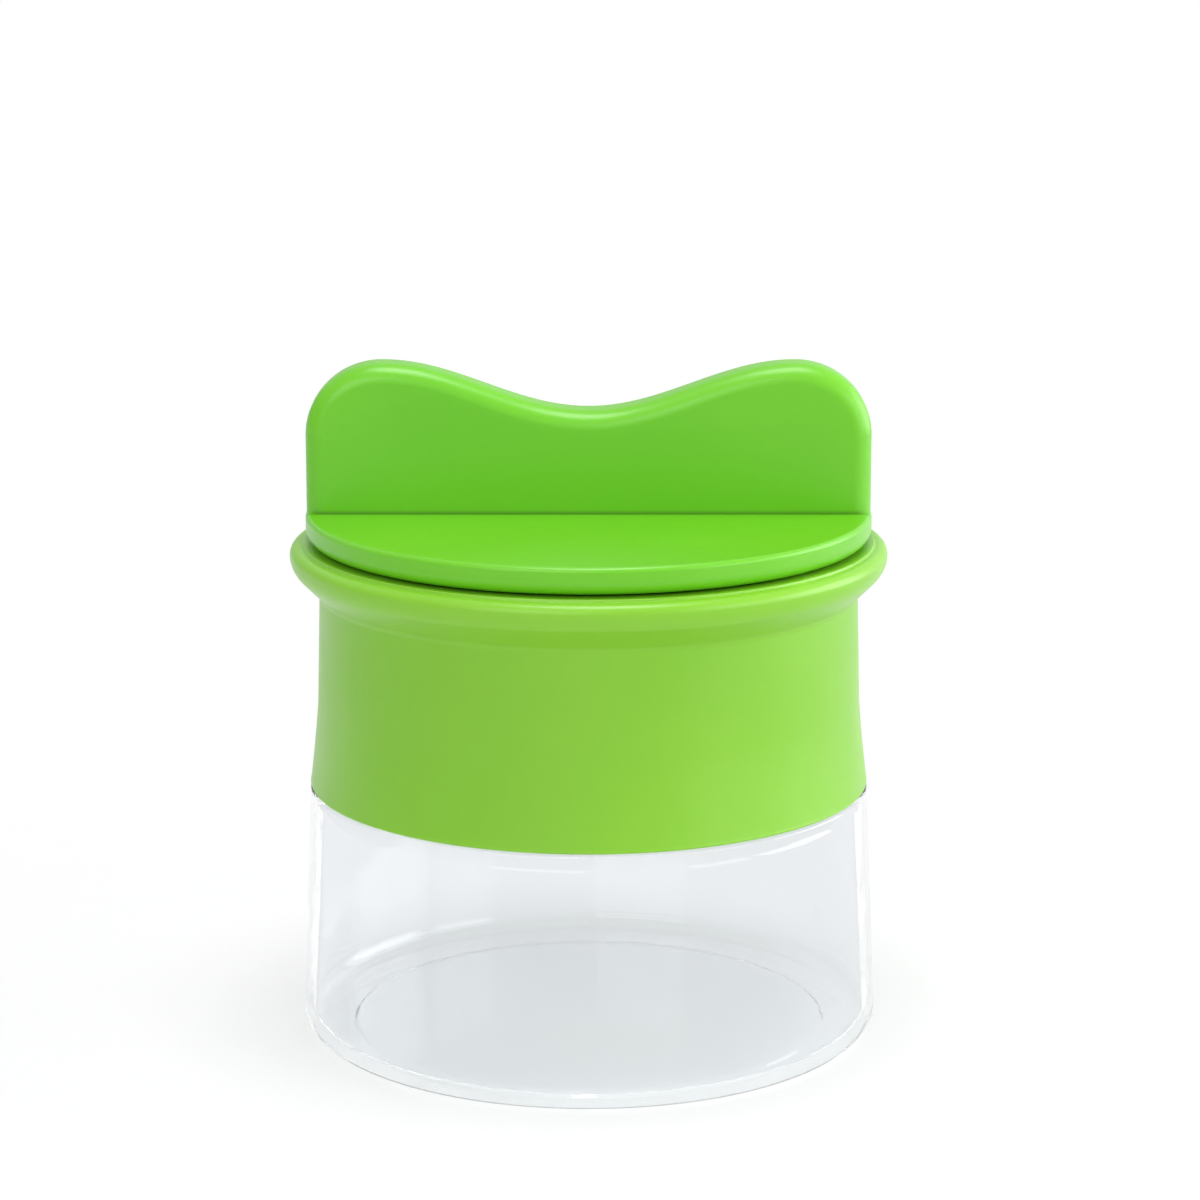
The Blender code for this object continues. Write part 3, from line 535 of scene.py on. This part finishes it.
def steel(name, colour, roughness, grain, anisotropic=0.0, mottle=0.0):
    """Ground or plated steel: grain runs along the direction that the stretch is smallest in."""
    m = Nodes(name)
    lines = m.noise(1.0, 5.0, 0.6, stretch=grain)
    stains = m.spread(m.noise(180.0, 4.0), 0.4, 0.7, 0.0, 1.0)
    darker = tuple(c * (0.82 - mottle) for c in colour)
    shade = m.mix(m.spread(lines, 0.35, 0.7, 0.0, 0.55), colour, darker)
    stained = m.mix(m.spread(stains, 0.0, 1.0, 0.0, 0.25 + mottle), shade, darker)
    m.link(stained, m.shader.inputs["Base Color"])
    m.link(m.spread(lines, 0.3, 0.7, roughness - 0.07, roughness + 0.10), m.shader.inputs["Roughness"])
    m.link(m.bump(lines, 0.000012, 0.6), m.shader.inputs["Normal"])
    m.set(metallic=1.0, anisotropic=anisotropic)
    return m.material


# Container

def container_keys():
    inner, half = NECK_RADIUS - OVERLAP, KEY_WIDTH / 2
    bottom, top = SEAM_HEIGHT - GAP + KEY_MARGIN, NECK_TOP - KEY_MARGIN
    turns = [KEY_START + i * 360.0 / KEY_COUNT for i in range(KEY_COUNT)]
    return [box("key", (inner, -half, bottom), (NECK_RADIUS + KEY_DEPTH, half, top), turn) for turn in turns]


def make_container(material):
    """A clear cup with a recessed foot, a shoulder under the seam and a keyed neck above it."""
    shoulder = SEAM_HEIGHT - GAP
    foot_outer = CONTAINER_RADIUS - CONTAINER_CORNER
    foot_inner = foot_outer - FOOT_WIDTH
    inside_base = CONTAINER_RADIUS - CONTAINER_WALL
    inside_top = SEAM_RADIUS - CONTAINER_WALL
    inner_round = CONTAINER_CORNER - CONTAINER_WALL
    corners = [(0.0, FOOT_RECESS, 0.0), (foot_inner - FOOT_RECESS, FOOT_RECESS, 0.0006),
               (foot_inner, 0.0, 0.0004), (CONTAINER_RADIUS, 0.0, CONTAINER_CORNER),
               (SEAM_RADIUS, shoulder, 0.0004), (NECK_RADIUS, shoulder, 0.0003),
               (NECK_RADIUS, NECK_TOP, 0.0004), (NECK_BORE, NECK_TOP, 0.0004), (NECK_BORE, shoulder, 0.0012),
               (inside_top, shoulder - (inside_top - NECK_BORE), 0.0015),
               (inside_base, CONTAINER_FLOOR, inner_round), (0.0, CONTAINER_FLOOR, 0.0)]
    container = lathe("container_clear_cup", rounded(corners))
    combine(container, "UNION", container_keys())
    return dress(container, material, "container_body", "container")


# Cutter body

def body_outline():
    """The cutter body's section, from the seam up the outside, over the rim and down the bore."""
    outline = arc(SEAM_RADIUS - EDGE, SEAM_HEIGHT + EDGE, EDGE, -90, 0)
    for step in range(1, FLARE_STEPS + 1):
        share = step / FLARE_STEPS
        radius = WAIST_RADIUS + (SEAM_RADIUS - WAIST_RADIUS) * (1 - share) ** FLARE_CURVE
        outline.append((radius, SEAM_HEIGHT + FLARE_HEIGHT * share))
    edge_height = RIM_TOP - RIM_STEP - RIM_TOP_ROUND
    under = arc(RIM_RADIUS - RIM_UNDER_ROUND, edge_height, RIM_UNDER_ROUND, -45, 0)
    fillet_end = THROAT_RADIUS + RIM_FILLET * (1 - cos(radians(45)))
    fillet_top = under[0][1] - (under[0][0] - fillet_end)
    fillet_centre = fillet_top - RIM_FILLET * sin(radians(45))
    outline += arc(THROAT_RADIUS + RIM_FILLET, fillet_centre, RIM_FILLET, 180, 135)
    outline += under
    outline += arc(RIM_RADIUS - RIM_TOP_ROUND, edge_height, RIM_TOP_ROUND, 0, 90)[1:]
    land = RIM_RADIUS - RIM_TOP_ROUND - RIM_STEP
    step_round = RIM_STEP / 3
    outline += rounded([(land + RIM_STEP, RIM_TOP - RIM_STEP, 0.0), (land, RIM_TOP - RIM_STEP, step_round),
                        (land - step_round, RIM_TOP, step_round), (land - 3 * RIM_STEP, RIM_TOP, 0.0)])[1:]
    outline += arc(MOUTH_RADIUS + MOUTH_ROUND, RIM_TOP - MOUTH_ROUND, MOUTH_ROUND, 90, 180)
    outline += [(BORE_RADIUS, RIM_TOP - MOUTH_ROUND - LEAD_IN_DEPTH), (BORE_RADIUS, LEDGE_TOP)]
    outline += [(LEDGE_RADIUS, LEDGE_TOP), (LEDGE_RADIUS, LEDGE_BOTTOM), (SKIRT_BORE, LEDGE_BOTTOM)]
    outline += [(SKIRT_BORE, SEAM_HEIGHT + EDGE), (SKIRT_BORE + EDGE, SEAM_HEIGHT)]
    return outline


def make_cutter_body(material):
    body = lathe("cutter_body_moulding", body_outline())
    inner, outer = NECK_RADIUS - OVERLAP, NECK_RADIUS + KEY_DEPTH + GAP
    half = KEY_WIDTH / 2 + GAP
    cutters = [box("slot", (inner, -half, SEAM_HEIGHT - PAST), (outer, half, LEDGE_BOTTOM - GAP),
                   KEY_START + i * 360.0 / KEY_COUNT) for i in range(KEY_COUNT)]
    cutters += [hole(SCREW_HOLE, LEDGE_BOTTOM - PAST, LEDGE_TOP + PAST, centre_of(f"plate_screw_{n}"))
                for n in (1, 2, 3)]
    combine(body, "DIFFERENCE", cutters)
    return dress(body, material, "cutter", "cutter_body")


# Blade plate

def ramp_top(x, y):
    return RAMP_LOW + SLICE_THICKNESS * (atan2(y, x) % tau) / tau


def fin_places():
    first, last = low("slitting_comb", 0) + FIN_INSET, high("slitting_comb", 0)
    return [first + i * FIN_PITCH for i in range(int((last - first) / FIN_PITCH + 1e-3) + 1)]


def make_blade_plate(material):
    """A plate whose floor climbs by one slice in a turn, with ribs, the blade's bed, slots and slits."""
    bore = high("coring_tube", 0) + GAP
    stop = high("coring_tube", 0) - TUBE_WALL
    radii = [bore + (FLANGE_INNER - bore) * i / FLOOR_RINGS for i in range(FLOOR_RINGS + 1)]
    sections = []
    for step in range(SEGMENTS):
        angle = STEP_HALF_ANGLE + (tau - 2 * STEP_HALF_ANGLE) * step / (SEGMENTS - 1)
        across, along = cos(angle), sin(angle)
        top = ramp_top(across, along)
        under = max(PLATE_UNDER, top - PLATE_WALL)
        section = [(stop, PLATE_BOTTOM), (HUB_RADIUS, PLATE_BOTTOM), (HUB_RADIUS, under),
                   (FLANGE_INNER, under), (FLANGE_INNER, PLATE_BOTTOM), (PLATE_RADIUS, PLATE_BOTTOM),
                   (PLATE_RADIUS, FLANGE_TOP - FLANGE_EDGE), (PLATE_RADIUS - FLANGE_EDGE, FLANGE_TOP),
                   (FLANGE_INNER + FLANGE_EDGE, FLANGE_TOP), (FLANGE_INNER, FLANGE_TOP - FLANGE_EDGE)]
        section += [(radius, top) for radius in reversed(radii)]
        section += [(bore, PLATE_BOTTOM + HUB_STOP), (stop, PLATE_BOTTOM + HUB_STOP)]
        sections.append([(r * across, r * along, z) for r, z in section])
    plate = loft("blade_plate_moulding", sections, endless=True)
    ribs = [box("rib", (HUB_RADIUS - OVERLAP, -RIB_THICKNESS / 2, PLATE_UNDER),
                (FLANGE_INNER + OVERLAP, RIB_THICKNESS / 2,
                 ramp_top(*round_place(1.0, angle)) - PLATE_WALL / 2), angle) for angle in RIB_ANGLES]
    combine(plate, "UNION", ribs)

    past_top = FLANGE_TOP + PAST
    blade_low, blade_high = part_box("slicing_blade")
    slot = box("slot", (HUB_RADIUS + SLOT_INSET, BED_END, PLATE_BOTTOM - PAST),
               (FLANGE_INNER + OVERLAP / 2, BED_END + SLOT_WIDTH, past_top))
    recess = box("recess", (blade_low[0] - GAP, blade_low[1] - GAP, blade_low[2] - GAP),
                 (blade_high[0] + GAP, blade_high[1] + GAP, past_top))
    combine(plate, "DIFFERENCE", [slot])
    combine(plate, "DIFFERENCE", [recess])

    wide = COMB_THICKNESS / 2 + GAP
    fin_start = low("slitting_comb", 1) + 2 * GAP
    slits = [box("slit", (x - wide, fin_start - GAP, PLATE_BOTTOM - PAST),
                 (x + wide, fin_start + FIN_LENGTH + GAP, past_top)) for x in fin_places()]
    combine(plate, "DIFFERENCE", slits)
    names = ("blade_rivet_1", "blade_rivet_2", "comb_rivet_1", "comb_rivet_2")
    combine(plate, "DIFFERENCE", [rivet_hole(name) for name in names])
    pilot_end = PLATE_BOTTOM + PLATE_SCREW_BITE + GAP
    combine(plate, "DIFFERENCE", [hole(SCREW_HOLE, PLATE_BOTTOM - PAST, pilot_end,
                                       centre_of(f"plate_screw_{n}")) for n in (1, 2, 3)])
    return dress(plate, material, "cutter", "blade_plate", 30.0)


# Steel parts of the cutter

def rivet_hole(node):
    shank, head = RIVET_SHANK + GAP, high(node, 0) - centre_of(node)[0] + GAP
    top, cone = high(node), high(node) - RIVET_HEAD_HEIGHT - GAP
    bottom = low(node) - PAST
    profile = [(0.0, bottom), (shank, bottom), (shank, cone), (head, top), (head, top + PAST),
               (0.0, top + PAST)]
    return lathe("hole", profile, SMALL_SEGMENTS, centre_of(node))


def make_rivet(node, material):
    """A flush countersunk head with a turned dimple, and a set tail."""
    head = high(node, 0) - centre_of(node)[0]
    top, bottom = high(node), low(node)
    tail = bottom + RIVET_TAIL_HEIGHT
    dent, dimple = bottom + RIVET_DIMPLE, top - RIVET_DIMPLE
    corners = [(0.0, dent, 0.0), (0.0003, dent, 0.0001), (0.0005, bottom, 0.0001),
               (0.0010, bottom, 0.0002), (RIVET_TAIL, bottom + RIVET_TAIL_HEIGHT / 2, 0.0003),
               (RIVET_TAIL, tail, 0.0001), (RIVET_SHANK, tail, 0.0),
               (RIVET_SHANK, top - RIVET_HEAD_HEIGHT, 0.0),
               (head, top - 0.00004, 0.0), (head - 0.0001, top, 0.0), (0.0006, top, 0.0001),
               (0.0004, dimple, 0.0001), (0.0, dimple, 0.0)]
    rivet = lathe(f"{node}_turned", rounded(corners), SMALL_SEGMENTS, centre_of(node))
    return dress(rivet, material, "cutter", node, 45.0)


def make_slicing_blade(material, ground):
    """A flat strip whose ground bevel has its own finer, brighter finish."""
    corner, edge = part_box("slicing_blade")
    section = [(corner[1], corner[2]), (edge[1] - BLADE_BEVEL, corner[2]), (edge[1], edge[2] - BLADE_TIP),
               (edge[1], edge[2]), (corner[1], edge[2])]
    blade = loft("slicing_blade_strip", [[(x, y, z) for y, z in section] for x in (corner[0], edge[0])])
    holes = [rivet_hole(f"blade_rivet_{n}") for n in (1, 2)]
    combine(blade, "DIFFERENCE", holes)
    dress(blade, material, "cutter", "slicing_blade", 20.0)
    blade.data.materials.append(ground)
    for face in blade.data.polygons:
        if face.normal.y > GROUND_FACING and face.normal.z < -GROUND_FACING:
            face.material_index = 1
    soften(blade, BLADE_EDGE)


def make_slitting_comb(material):
    corner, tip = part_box("slitting_comb")
    foot_top = corner[2] + COMB_THICKNESS
    comb = box("slitting_comb_strip", corner, (tip[0], tip[1], foot_top))
    start = corner[1] + 2 * GAP
    root = foot_top - COMB_THICKNESS / 2
    half_up = root + (tip[2] - root) / 2
    half = COMB_THICKNESS / 2
    side = [(start, root), (start + FIN_LENGTH, root), (start + FIN_LENGTH, half_up),
            (start + COMB_THICKNESS, tip[2]), (start, tip[2])]
    fins = [loft("fin", [[(x + offset, y, z) for y, z in side] for offset in (-half, half)])
            for x in fin_places()]
    combine(comb, "UNION", fins)
    combine(comb, "DIFFERENCE", [hole(RIVET_SHANK + GAP, corner[2] - PAST, foot_top + PAST,
                                      centre_of(f"comb_rivet_{n}")) for n in (1, 2)])
    soften(comb, COMB_EDGE)
    return dress(comb, material, "cutter", "slitting_comb", 20.0)


def make_coring_tube(material):
    radius, bottom, top = high("coring_tube", 0), low("coring_tube"), high("coring_tube")
    inner = radius - TUBE_WALL
    corners = [(inner, bottom, 0.0001), (radius, bottom, 0.0001), (radius, top - TUBE_BEVEL, 0.0003),
               (inner + 0.0001, top, 0.00003), (inner, top, 0.00003)]
    tube = lathe("coring_tube_turned", rounded(corners), 2 * SMALL_SEGMENTS)
    return dress(tube, material, "cutter", "coring_tube", 30.0)


def make_screw(node, body, material):
    """A pan-head screw with a domed head and a cross recess, driven upward."""
    at = centre_of(node)
    bottom, top = low(node), high(node)
    head = high(node, 0) - at[0]
    seat = bottom + SCREW_HEAD_HEIGHT
    corners = [(0.0, bottom, 0.0), (head - 0.0004, bottom, 0.0009), (head, bottom + 0.0005, 0.0007),
               (head, seat, 0.0001), (SCREW_SHANK, seat, 0.0001), (SCREW_SHANK, top - SCREW_SHANK, 0.0002),
               (0.0004, top, 0.0002), (0.0, top, 0.0)]
    screw = lathe(f"{node}_turned", rounded(corners), SMALL_SEGMENTS, at)
    for span, width in ((CROSS_SPAN, CROSS_WIDTH), (CROSS_WIDTH, CROSS_SPAN)):
        start = (at[0] - span / 2, at[1] - width / 2, bottom - CROSS_DEPTH)
        end = (at[0] + span / 2, at[1] + width / 2, bottom + CROSS_DEPTH)
        combine(screw, "DIFFERENCE", [box("cross", start, end)])
    return dress(screw, material, body, node, 45.0)


# Grip

def wing_outline():
    """(x, z, outward x, outward z) up the right end, over both humps and down the left end."""
    shoulder = WING_TOP - WING_SHOULDER
    right = [(WING_REACH, DISC_TOP - DISC_TOP_ROUND - OVERLAP, 1.0, 0.0)]
    for step in range(SHOULDER_STEPS + 1):
        angle = pi / 2 * step / SHOULDER_STEPS
        out = Vector((cos(angle) / WING_SHOULDER_WIDTH, sin(angle) / WING_SHOULDER)).normalized()
        right.append((HUMP_OFFSET + WING_SHOULDER_WIDTH * cos(angle), shoulder + WING_SHOULDER * sin(angle),
                      out.x, out.y))
    for step in range(1, SADDLE_STEPS):
        x = HUMP_OFFSET * (1 - step / SADDLE_STEPS)
        z = WING_TOP - WING_DIP * (1 + cos(pi * x / HUMP_OFFSET)) / 2
        slope = WING_DIP * pi / HUMP_OFFSET * sin(pi * x / HUMP_OFFSET) / 2
        out = Vector((-slope, 1.0)).normalized()
        right.append((x, z, out.x, out.y))
    middle = [(0.0, WING_TOP - WING_DIP, 0.0, 1.0)]
    return right + middle + [(-x, z, -u, v) for x, z, u, v in reversed(right)]


def make_wing():
    """The wing in slices across its thickness, each drawn in where the long edges are rounded."""
    flat = WING_THICKNESS / 2 - WING_ROUND
    steps = ceil(pi / 2 / ROUND_STEP)
    front = [(flat + WING_ROUND * sin(a), WING_ROUND * (1 - cos(a)))
             for a in (pi / 2 * (steps - i) / steps for i in range(steps + 1))]
    slices = [(-y, inset) for y, inset in front] + [(y, inset) for y, inset in reversed(front)]
    outline = wing_outline()
    sections = [[(x - u * inset, y, z - v * inset) for x, z, u, v in outline] for y, inset in slices]
    return loft("wing", sections)


def make_grip(material):
    """The round lid and its upright wing, moulded in one, with the wing cored out from below."""
    flat_edge = DISC_RADIUS - DISC_TOP_ROUND - GAP
    corners = [(0.0, DISC_BOTTOM, 0.0), (DISC_RADIUS, DISC_BOTTOM, DISC_UNDER_ROUND),
               (DISC_RADIUS, DISC_TOP, DISC_TOP_ROUND), (flat_edge, DISC_TOP, 0.0), (0.0, DISC_TOP, 0.0)]
    grip = lathe("grip_moulding", rounded(corners))
    combine(grip, "UNION", [make_wing()])
    half = WING_THICKNESS / 2 - WING_WALL
    cores = [box("core", (start, -half, DISC_BOTTOM - PAST), (end, half, DISC_TOP + WING_CORE_HEIGHT))
             for start, end in ((WING_CORE_START, WING_CORE_END), (-WING_CORE_END, -WING_CORE_START))]
    pilots = [hole(SCREW_HOLE, DISC_BOTTOM - PAST, DISC_BOTTOM + HOLDER_SCREW_BITE + GAP,
                   centre_of(f"holder_screw_{n}")) for n in (1, 2, 3, 4)]
    combine(grip, "DIFFERENCE", cores + pilots)
    return dress(grip, material, "grip", "grip_cap", 32.0)


# Food holder

def make_tooth(degrees):
    """A fin across the radius: upright on its driving side, slanted behind, with a narrow tip."""
    lead = -TOOTH_WIDTH / 2
    root = WEB_BOTTOM + OVERLAP
    shapes = ((root, TOOTH_WIDTH, TOOTH_THICKNESS / 2),
              (TOOTH_TIP, TOOTH_TIP_WIDTH, TOOTH_TIP_THICKNESS / 2))
    turn = Matrix.Rotation(radians(degrees), 4, "Z")
    sections = []
    for height, width, half in shapes:
        ring = [(TOOTH_CIRCLE - half, lead), (TOOTH_CIRCLE + half, lead),
                (TOOTH_CIRCLE + half, lead + width), (TOOTH_CIRCLE - half, lead + width)]
        sections.append([tuple(turn @ Vector((x, y, height))) for x, y in ring])
    return loft("tooth", sections)


def make_food_holder(material):
    core = HOLDER_RADIUS - HOLDER_RELIEF
    lip_top = HOLDER_BOTTOM + HOLDER_LIP
    inner = HOLDER_RADIUS - HOLDER_WALL
    spike_hole = SPIKE_RADIUS + GAP
    head_hole = high("centre_spike", 0) + GAP
    head_floor = HOLDER_TOP - SPIKE_HEAD_HEIGHT - GAP
    corners = [(core, HOLDER_TOP, 0.0001), (core, lip_top, 0.0002), (HOLDER_RADIUS, lip_top, 0.0002),
               (HOLDER_RADIUS, HOLDER_BOTTOM, 0.0003), (inner, HOLDER_BOTTOM, 0.0003),
               (inner, WEB_BOTTOM, 0.0004), (HOLDER_BOSS + GAP, WEB_BOTTOM, 0.0004),
               (HOLDER_BOSS, HOLDER_BOTTOM, 0.0003), (spike_hole, HOLDER_BOTTOM, 0.0001),
               (spike_hole, head_floor, 0.0), (head_hole, head_floor, 0.0), (head_hole, HOLDER_TOP, 0.0001)]
    holder = lathe("food_holder_moulding", rounded(corners))
    step = 360.0 / HOLDER_RIB_COUNT
    ribs = [box("rib", (core - OVERLAP, -HOLDER_RIB_WIDTH / 2, lip_top - OVERLAP / 2),
                (HOLDER_RADIUS - HOLDER_RIB_SETBACK, HOLDER_RIB_WIDTH / 2, HOLDER_TOP - HOLDER_RIB_SETBACK),
                (i + 0.5) * step) for i in range(HOLDER_RIB_COUNT)]
    angles = [i * 360.0 / TOOTH_COUNT for i in range(TOOTH_COUNT)]
    spokes = [box("spoke", (HOLDER_BOSS - OVERLAP, -SPOKE_THICKNESS / 2, HOLDER_BOTTOM + HOLDER_LIP / 2),
                  (inner + OVERLAP, SPOKE_THICKNESS / 2, WEB_BOTTOM + OVERLAP), angle) for angle in angles]
    combine(holder, "UNION", ribs)
    combine(holder, "UNION", spokes)
    combine(holder, "UNION", [make_tooth(angle) for angle in angles])
    combine(holder, "DIFFERENCE", [hole(SCREW_HOLE, WEB_BOTTOM - PAST, HOLDER_TOP + PAST,
                                        centre_of(f"holder_screw_{n}")) for n in (1, 2, 3, 4)])
    return dress(holder, material, "grip", "food_holder", 32.0)


def make_centre_spike(material):
    head, bottom, top = high("centre_spike", 0), low("centre_spike"), high("centre_spike")
    corners = [(0.0, bottom, 0.0), (SPIKE_TIP, bottom, 0.0002), (SPIKE_RADIUS, bottom + SPIKE_POINT, 0.0015),
               (SPIKE_RADIUS, top - SPIKE_HEAD_HEIGHT, 0.0), (head, top - SPIKE_HEAD_HEIGHT, 0.0002),
               (head, top, 0.0002), (0.0, top, 0.0)]
    spike = lathe("centre_spike_turned", rounded(corners), 2 * SMALL_SEGMENTS)
    return dress(spike, material, "spike", "centre_spike", 45.0)


# Stage, light and camera

def seen_by_eye(tree):
    """1 where a surface or the world is seen directly, in a reflection or through clear plastic."""
    path = tree.nodes.new("ShaderNodeLightPath")
    seen = path.outputs["Is Camera Ray"]
    for name in ("Is Transmission Ray", "Is Glossy Ray"):
        seen = calculate(tree, "MAXIMUM", seen, path.outputs[name])
    return seen


def pale_floor():
    """A plain sheet that takes the object's shadow near it, and is seen as plain white further out."""
    half = FLOOR_HALF_SIZE
    floor = box("floor", (-half, -half, FLOOR_TOP - FLOOR_THICKNESS), (half, half, FLOOR_TOP))
    m = Nodes("pale_floor")
    m.set(roughness=0.9, specular=0.0)
    m.shader.inputs["Base Color"].default_value = (*FLOOR_COLOUR, 1.0)
    distance = m.node("ShaderNodeVectorMath", operation="LENGTH")
    m.link(m.place, distance.inputs[0])
    far = m.spread(distance.outputs["Value"], *FLOOR_FADE, FLOOR_NEAR, 1.0)
    m.mix_in(m.calculate("MULTIPLY", far, seen_by_eye(m.tree)), m.node("ShaderNodeEmission"))
    floor.data.materials.append(m.material)


def studio_world():
    """White round the object where it is seen, reflected or seen through, and a plainer level as light."""
    world = bpy.data.worlds.new("studio")
    bpy.context.scene.world = world
    world.use_nodes = True
    tree = world.node_tree
    background = tree.nodes["Background"]
    background.inputs["Color"].default_value = (1.0, 1.0, 1.0, 1.0)
    direction = tree.nodes.new("ShaderNodeTexCoord")
    split = tree.nodes.new("ShaderNodeSeparateXYZ")
    tree.links.new(direction.outputs["Generated"], split.inputs[0])
    from_left = map_range(tree, split.outputs["X"], *LEFT_TO_RIGHT, 1.0 - REFLECTED_LEFT, 0.0)
    from_low = map_range(tree, split.outputs["Z"], *LOW_TO_HIGH, 1.0, 0.0)
    path = tree.nodes.new("ShaderNodeLightPath")
    low_left = calculate(tree, "MULTIPLY", from_left, from_low)
    dimmed = calculate(tree, "MULTIPLY", low_left, path.outputs["Is Glossy Ray"])
    level = map_range(tree, seen_by_eye(tree), 0.0, 1.0, WORLD_LIGHT, 1.0)
    tree.links.new(calculate(tree, "SUBTRACT", level, dimmed), background.inputs["Strength"])


def softbox(name, place, aim_height, size, power):
    """A rectangular lamp aimed at a point on the object's axis."""
    light = bpy.data.lights.new(name, "AREA")
    light.shape = "RECTANGLE"
    light.size, light.size_y = size
    light.energy = power
    lamp = bpy.data.objects.new(name, light)
    lamp.location = place
    aim = Vector((0.0, 0.0, aim_height)) - Vector(place)
    lamp.rotation_euler = aim.to_track_quat("-Z", "Y").to_euler()
    bpy.context.scene.collection.objects.link(lamp)


def make_camera():
    """The photograph's view, worked out from the ellipses of the rim, the seam and the base."""
    data = bpy.data.cameras.new("camera")
    data.sensor_width = SENSOR_WIDTH
    data.lens = CAMERA_LENS
    camera = bpy.data.objects.new("camera", data)
    camera.location = CAMERA_PLACE
    camera.rotation_euler = (radians(90.0 - CAMERA_DOWN), 0.0, 0.0)
    bpy.context.scene.collection.objects.link(camera)
    bpy.context.scene.camera = camera


def main():
    body_green = green_plastic("body_green", (0.188, 0.480, 0.014), (0.222, 0.530, 0.024), 0.345)
    plate_green = green_plastic("plate_green", (0.165, 0.455, 0.022), (0.195, 0.500, 0.030), 0.36)
    grip_green = green_plastic("grip_green", (0.124, 0.482, 0.006), (0.152, 0.526, 0.011), 0.335,
                               (WING_THICKNESS / 2, DISC_TOP, WING_FOOT_SHADE))
    holder_green = green_plastic("holder_green", (0.085, 0.350, 0.007), (0.115, 0.400, 0.012), 0.36,
                                 shine=0.22)
    clear = clear_plastic("clear_plastic")
    blade_steel = steel("blade_steel", (0.62, 0.63, 0.65), 0.24, (60.0, 3200.0, 3200.0), anisotropic=0.3)
    ground_edge = steel("ground_edge", (0.72, 0.73, 0.75), 0.14, (4200.0, 90.0, 90.0), anisotropic=0.3)
    rivet_steel = steel("rivet_steel", (0.60, 0.61, 0.63), 0.26, (700.0, 700.0, 700.0))
    turned_steel = steel("turned_steel", (0.62, 0.63, 0.65), 0.20, (90.0, 90.0, 5200.0))
    screw_zinc = steel("screw_zinc", (0.55, 0.56, 0.58), 0.36, (1500.0, 1500.0, 1500.0), mottle=0.08)

    make_container(clear)
    make_cutter_body(body_green)
    make_blade_plate(plate_green)
    make_slicing_blade(blade_steel, ground_edge)
    make_slitting_comb(blade_steel)
    make_coring_tube(turned_steel)
    for node in ("blade_rivet_1", "blade_rivet_2", "comb_rivet_1", "comb_rivet_2"):
        make_rivet(node, rivet_steel)
    for number in (1, 2, 3):
        make_screw(f"plate_screw_{number}", "cutter", screw_zinc)
    make_grip(grip_green)
    make_food_holder(holder_green)
    for number in (1, 2, 3, 4):
        make_screw(f"holder_screw_{number}", "grip", screw_zinc)
    make_centre_spike(turned_steel)

    pale_floor()
    studio_world()
    for lamp in LAMPS:
        softbox(*lamp)
    make_camera()
    bpy.context.scene.view_settings.view_transform = "Standard"


main()
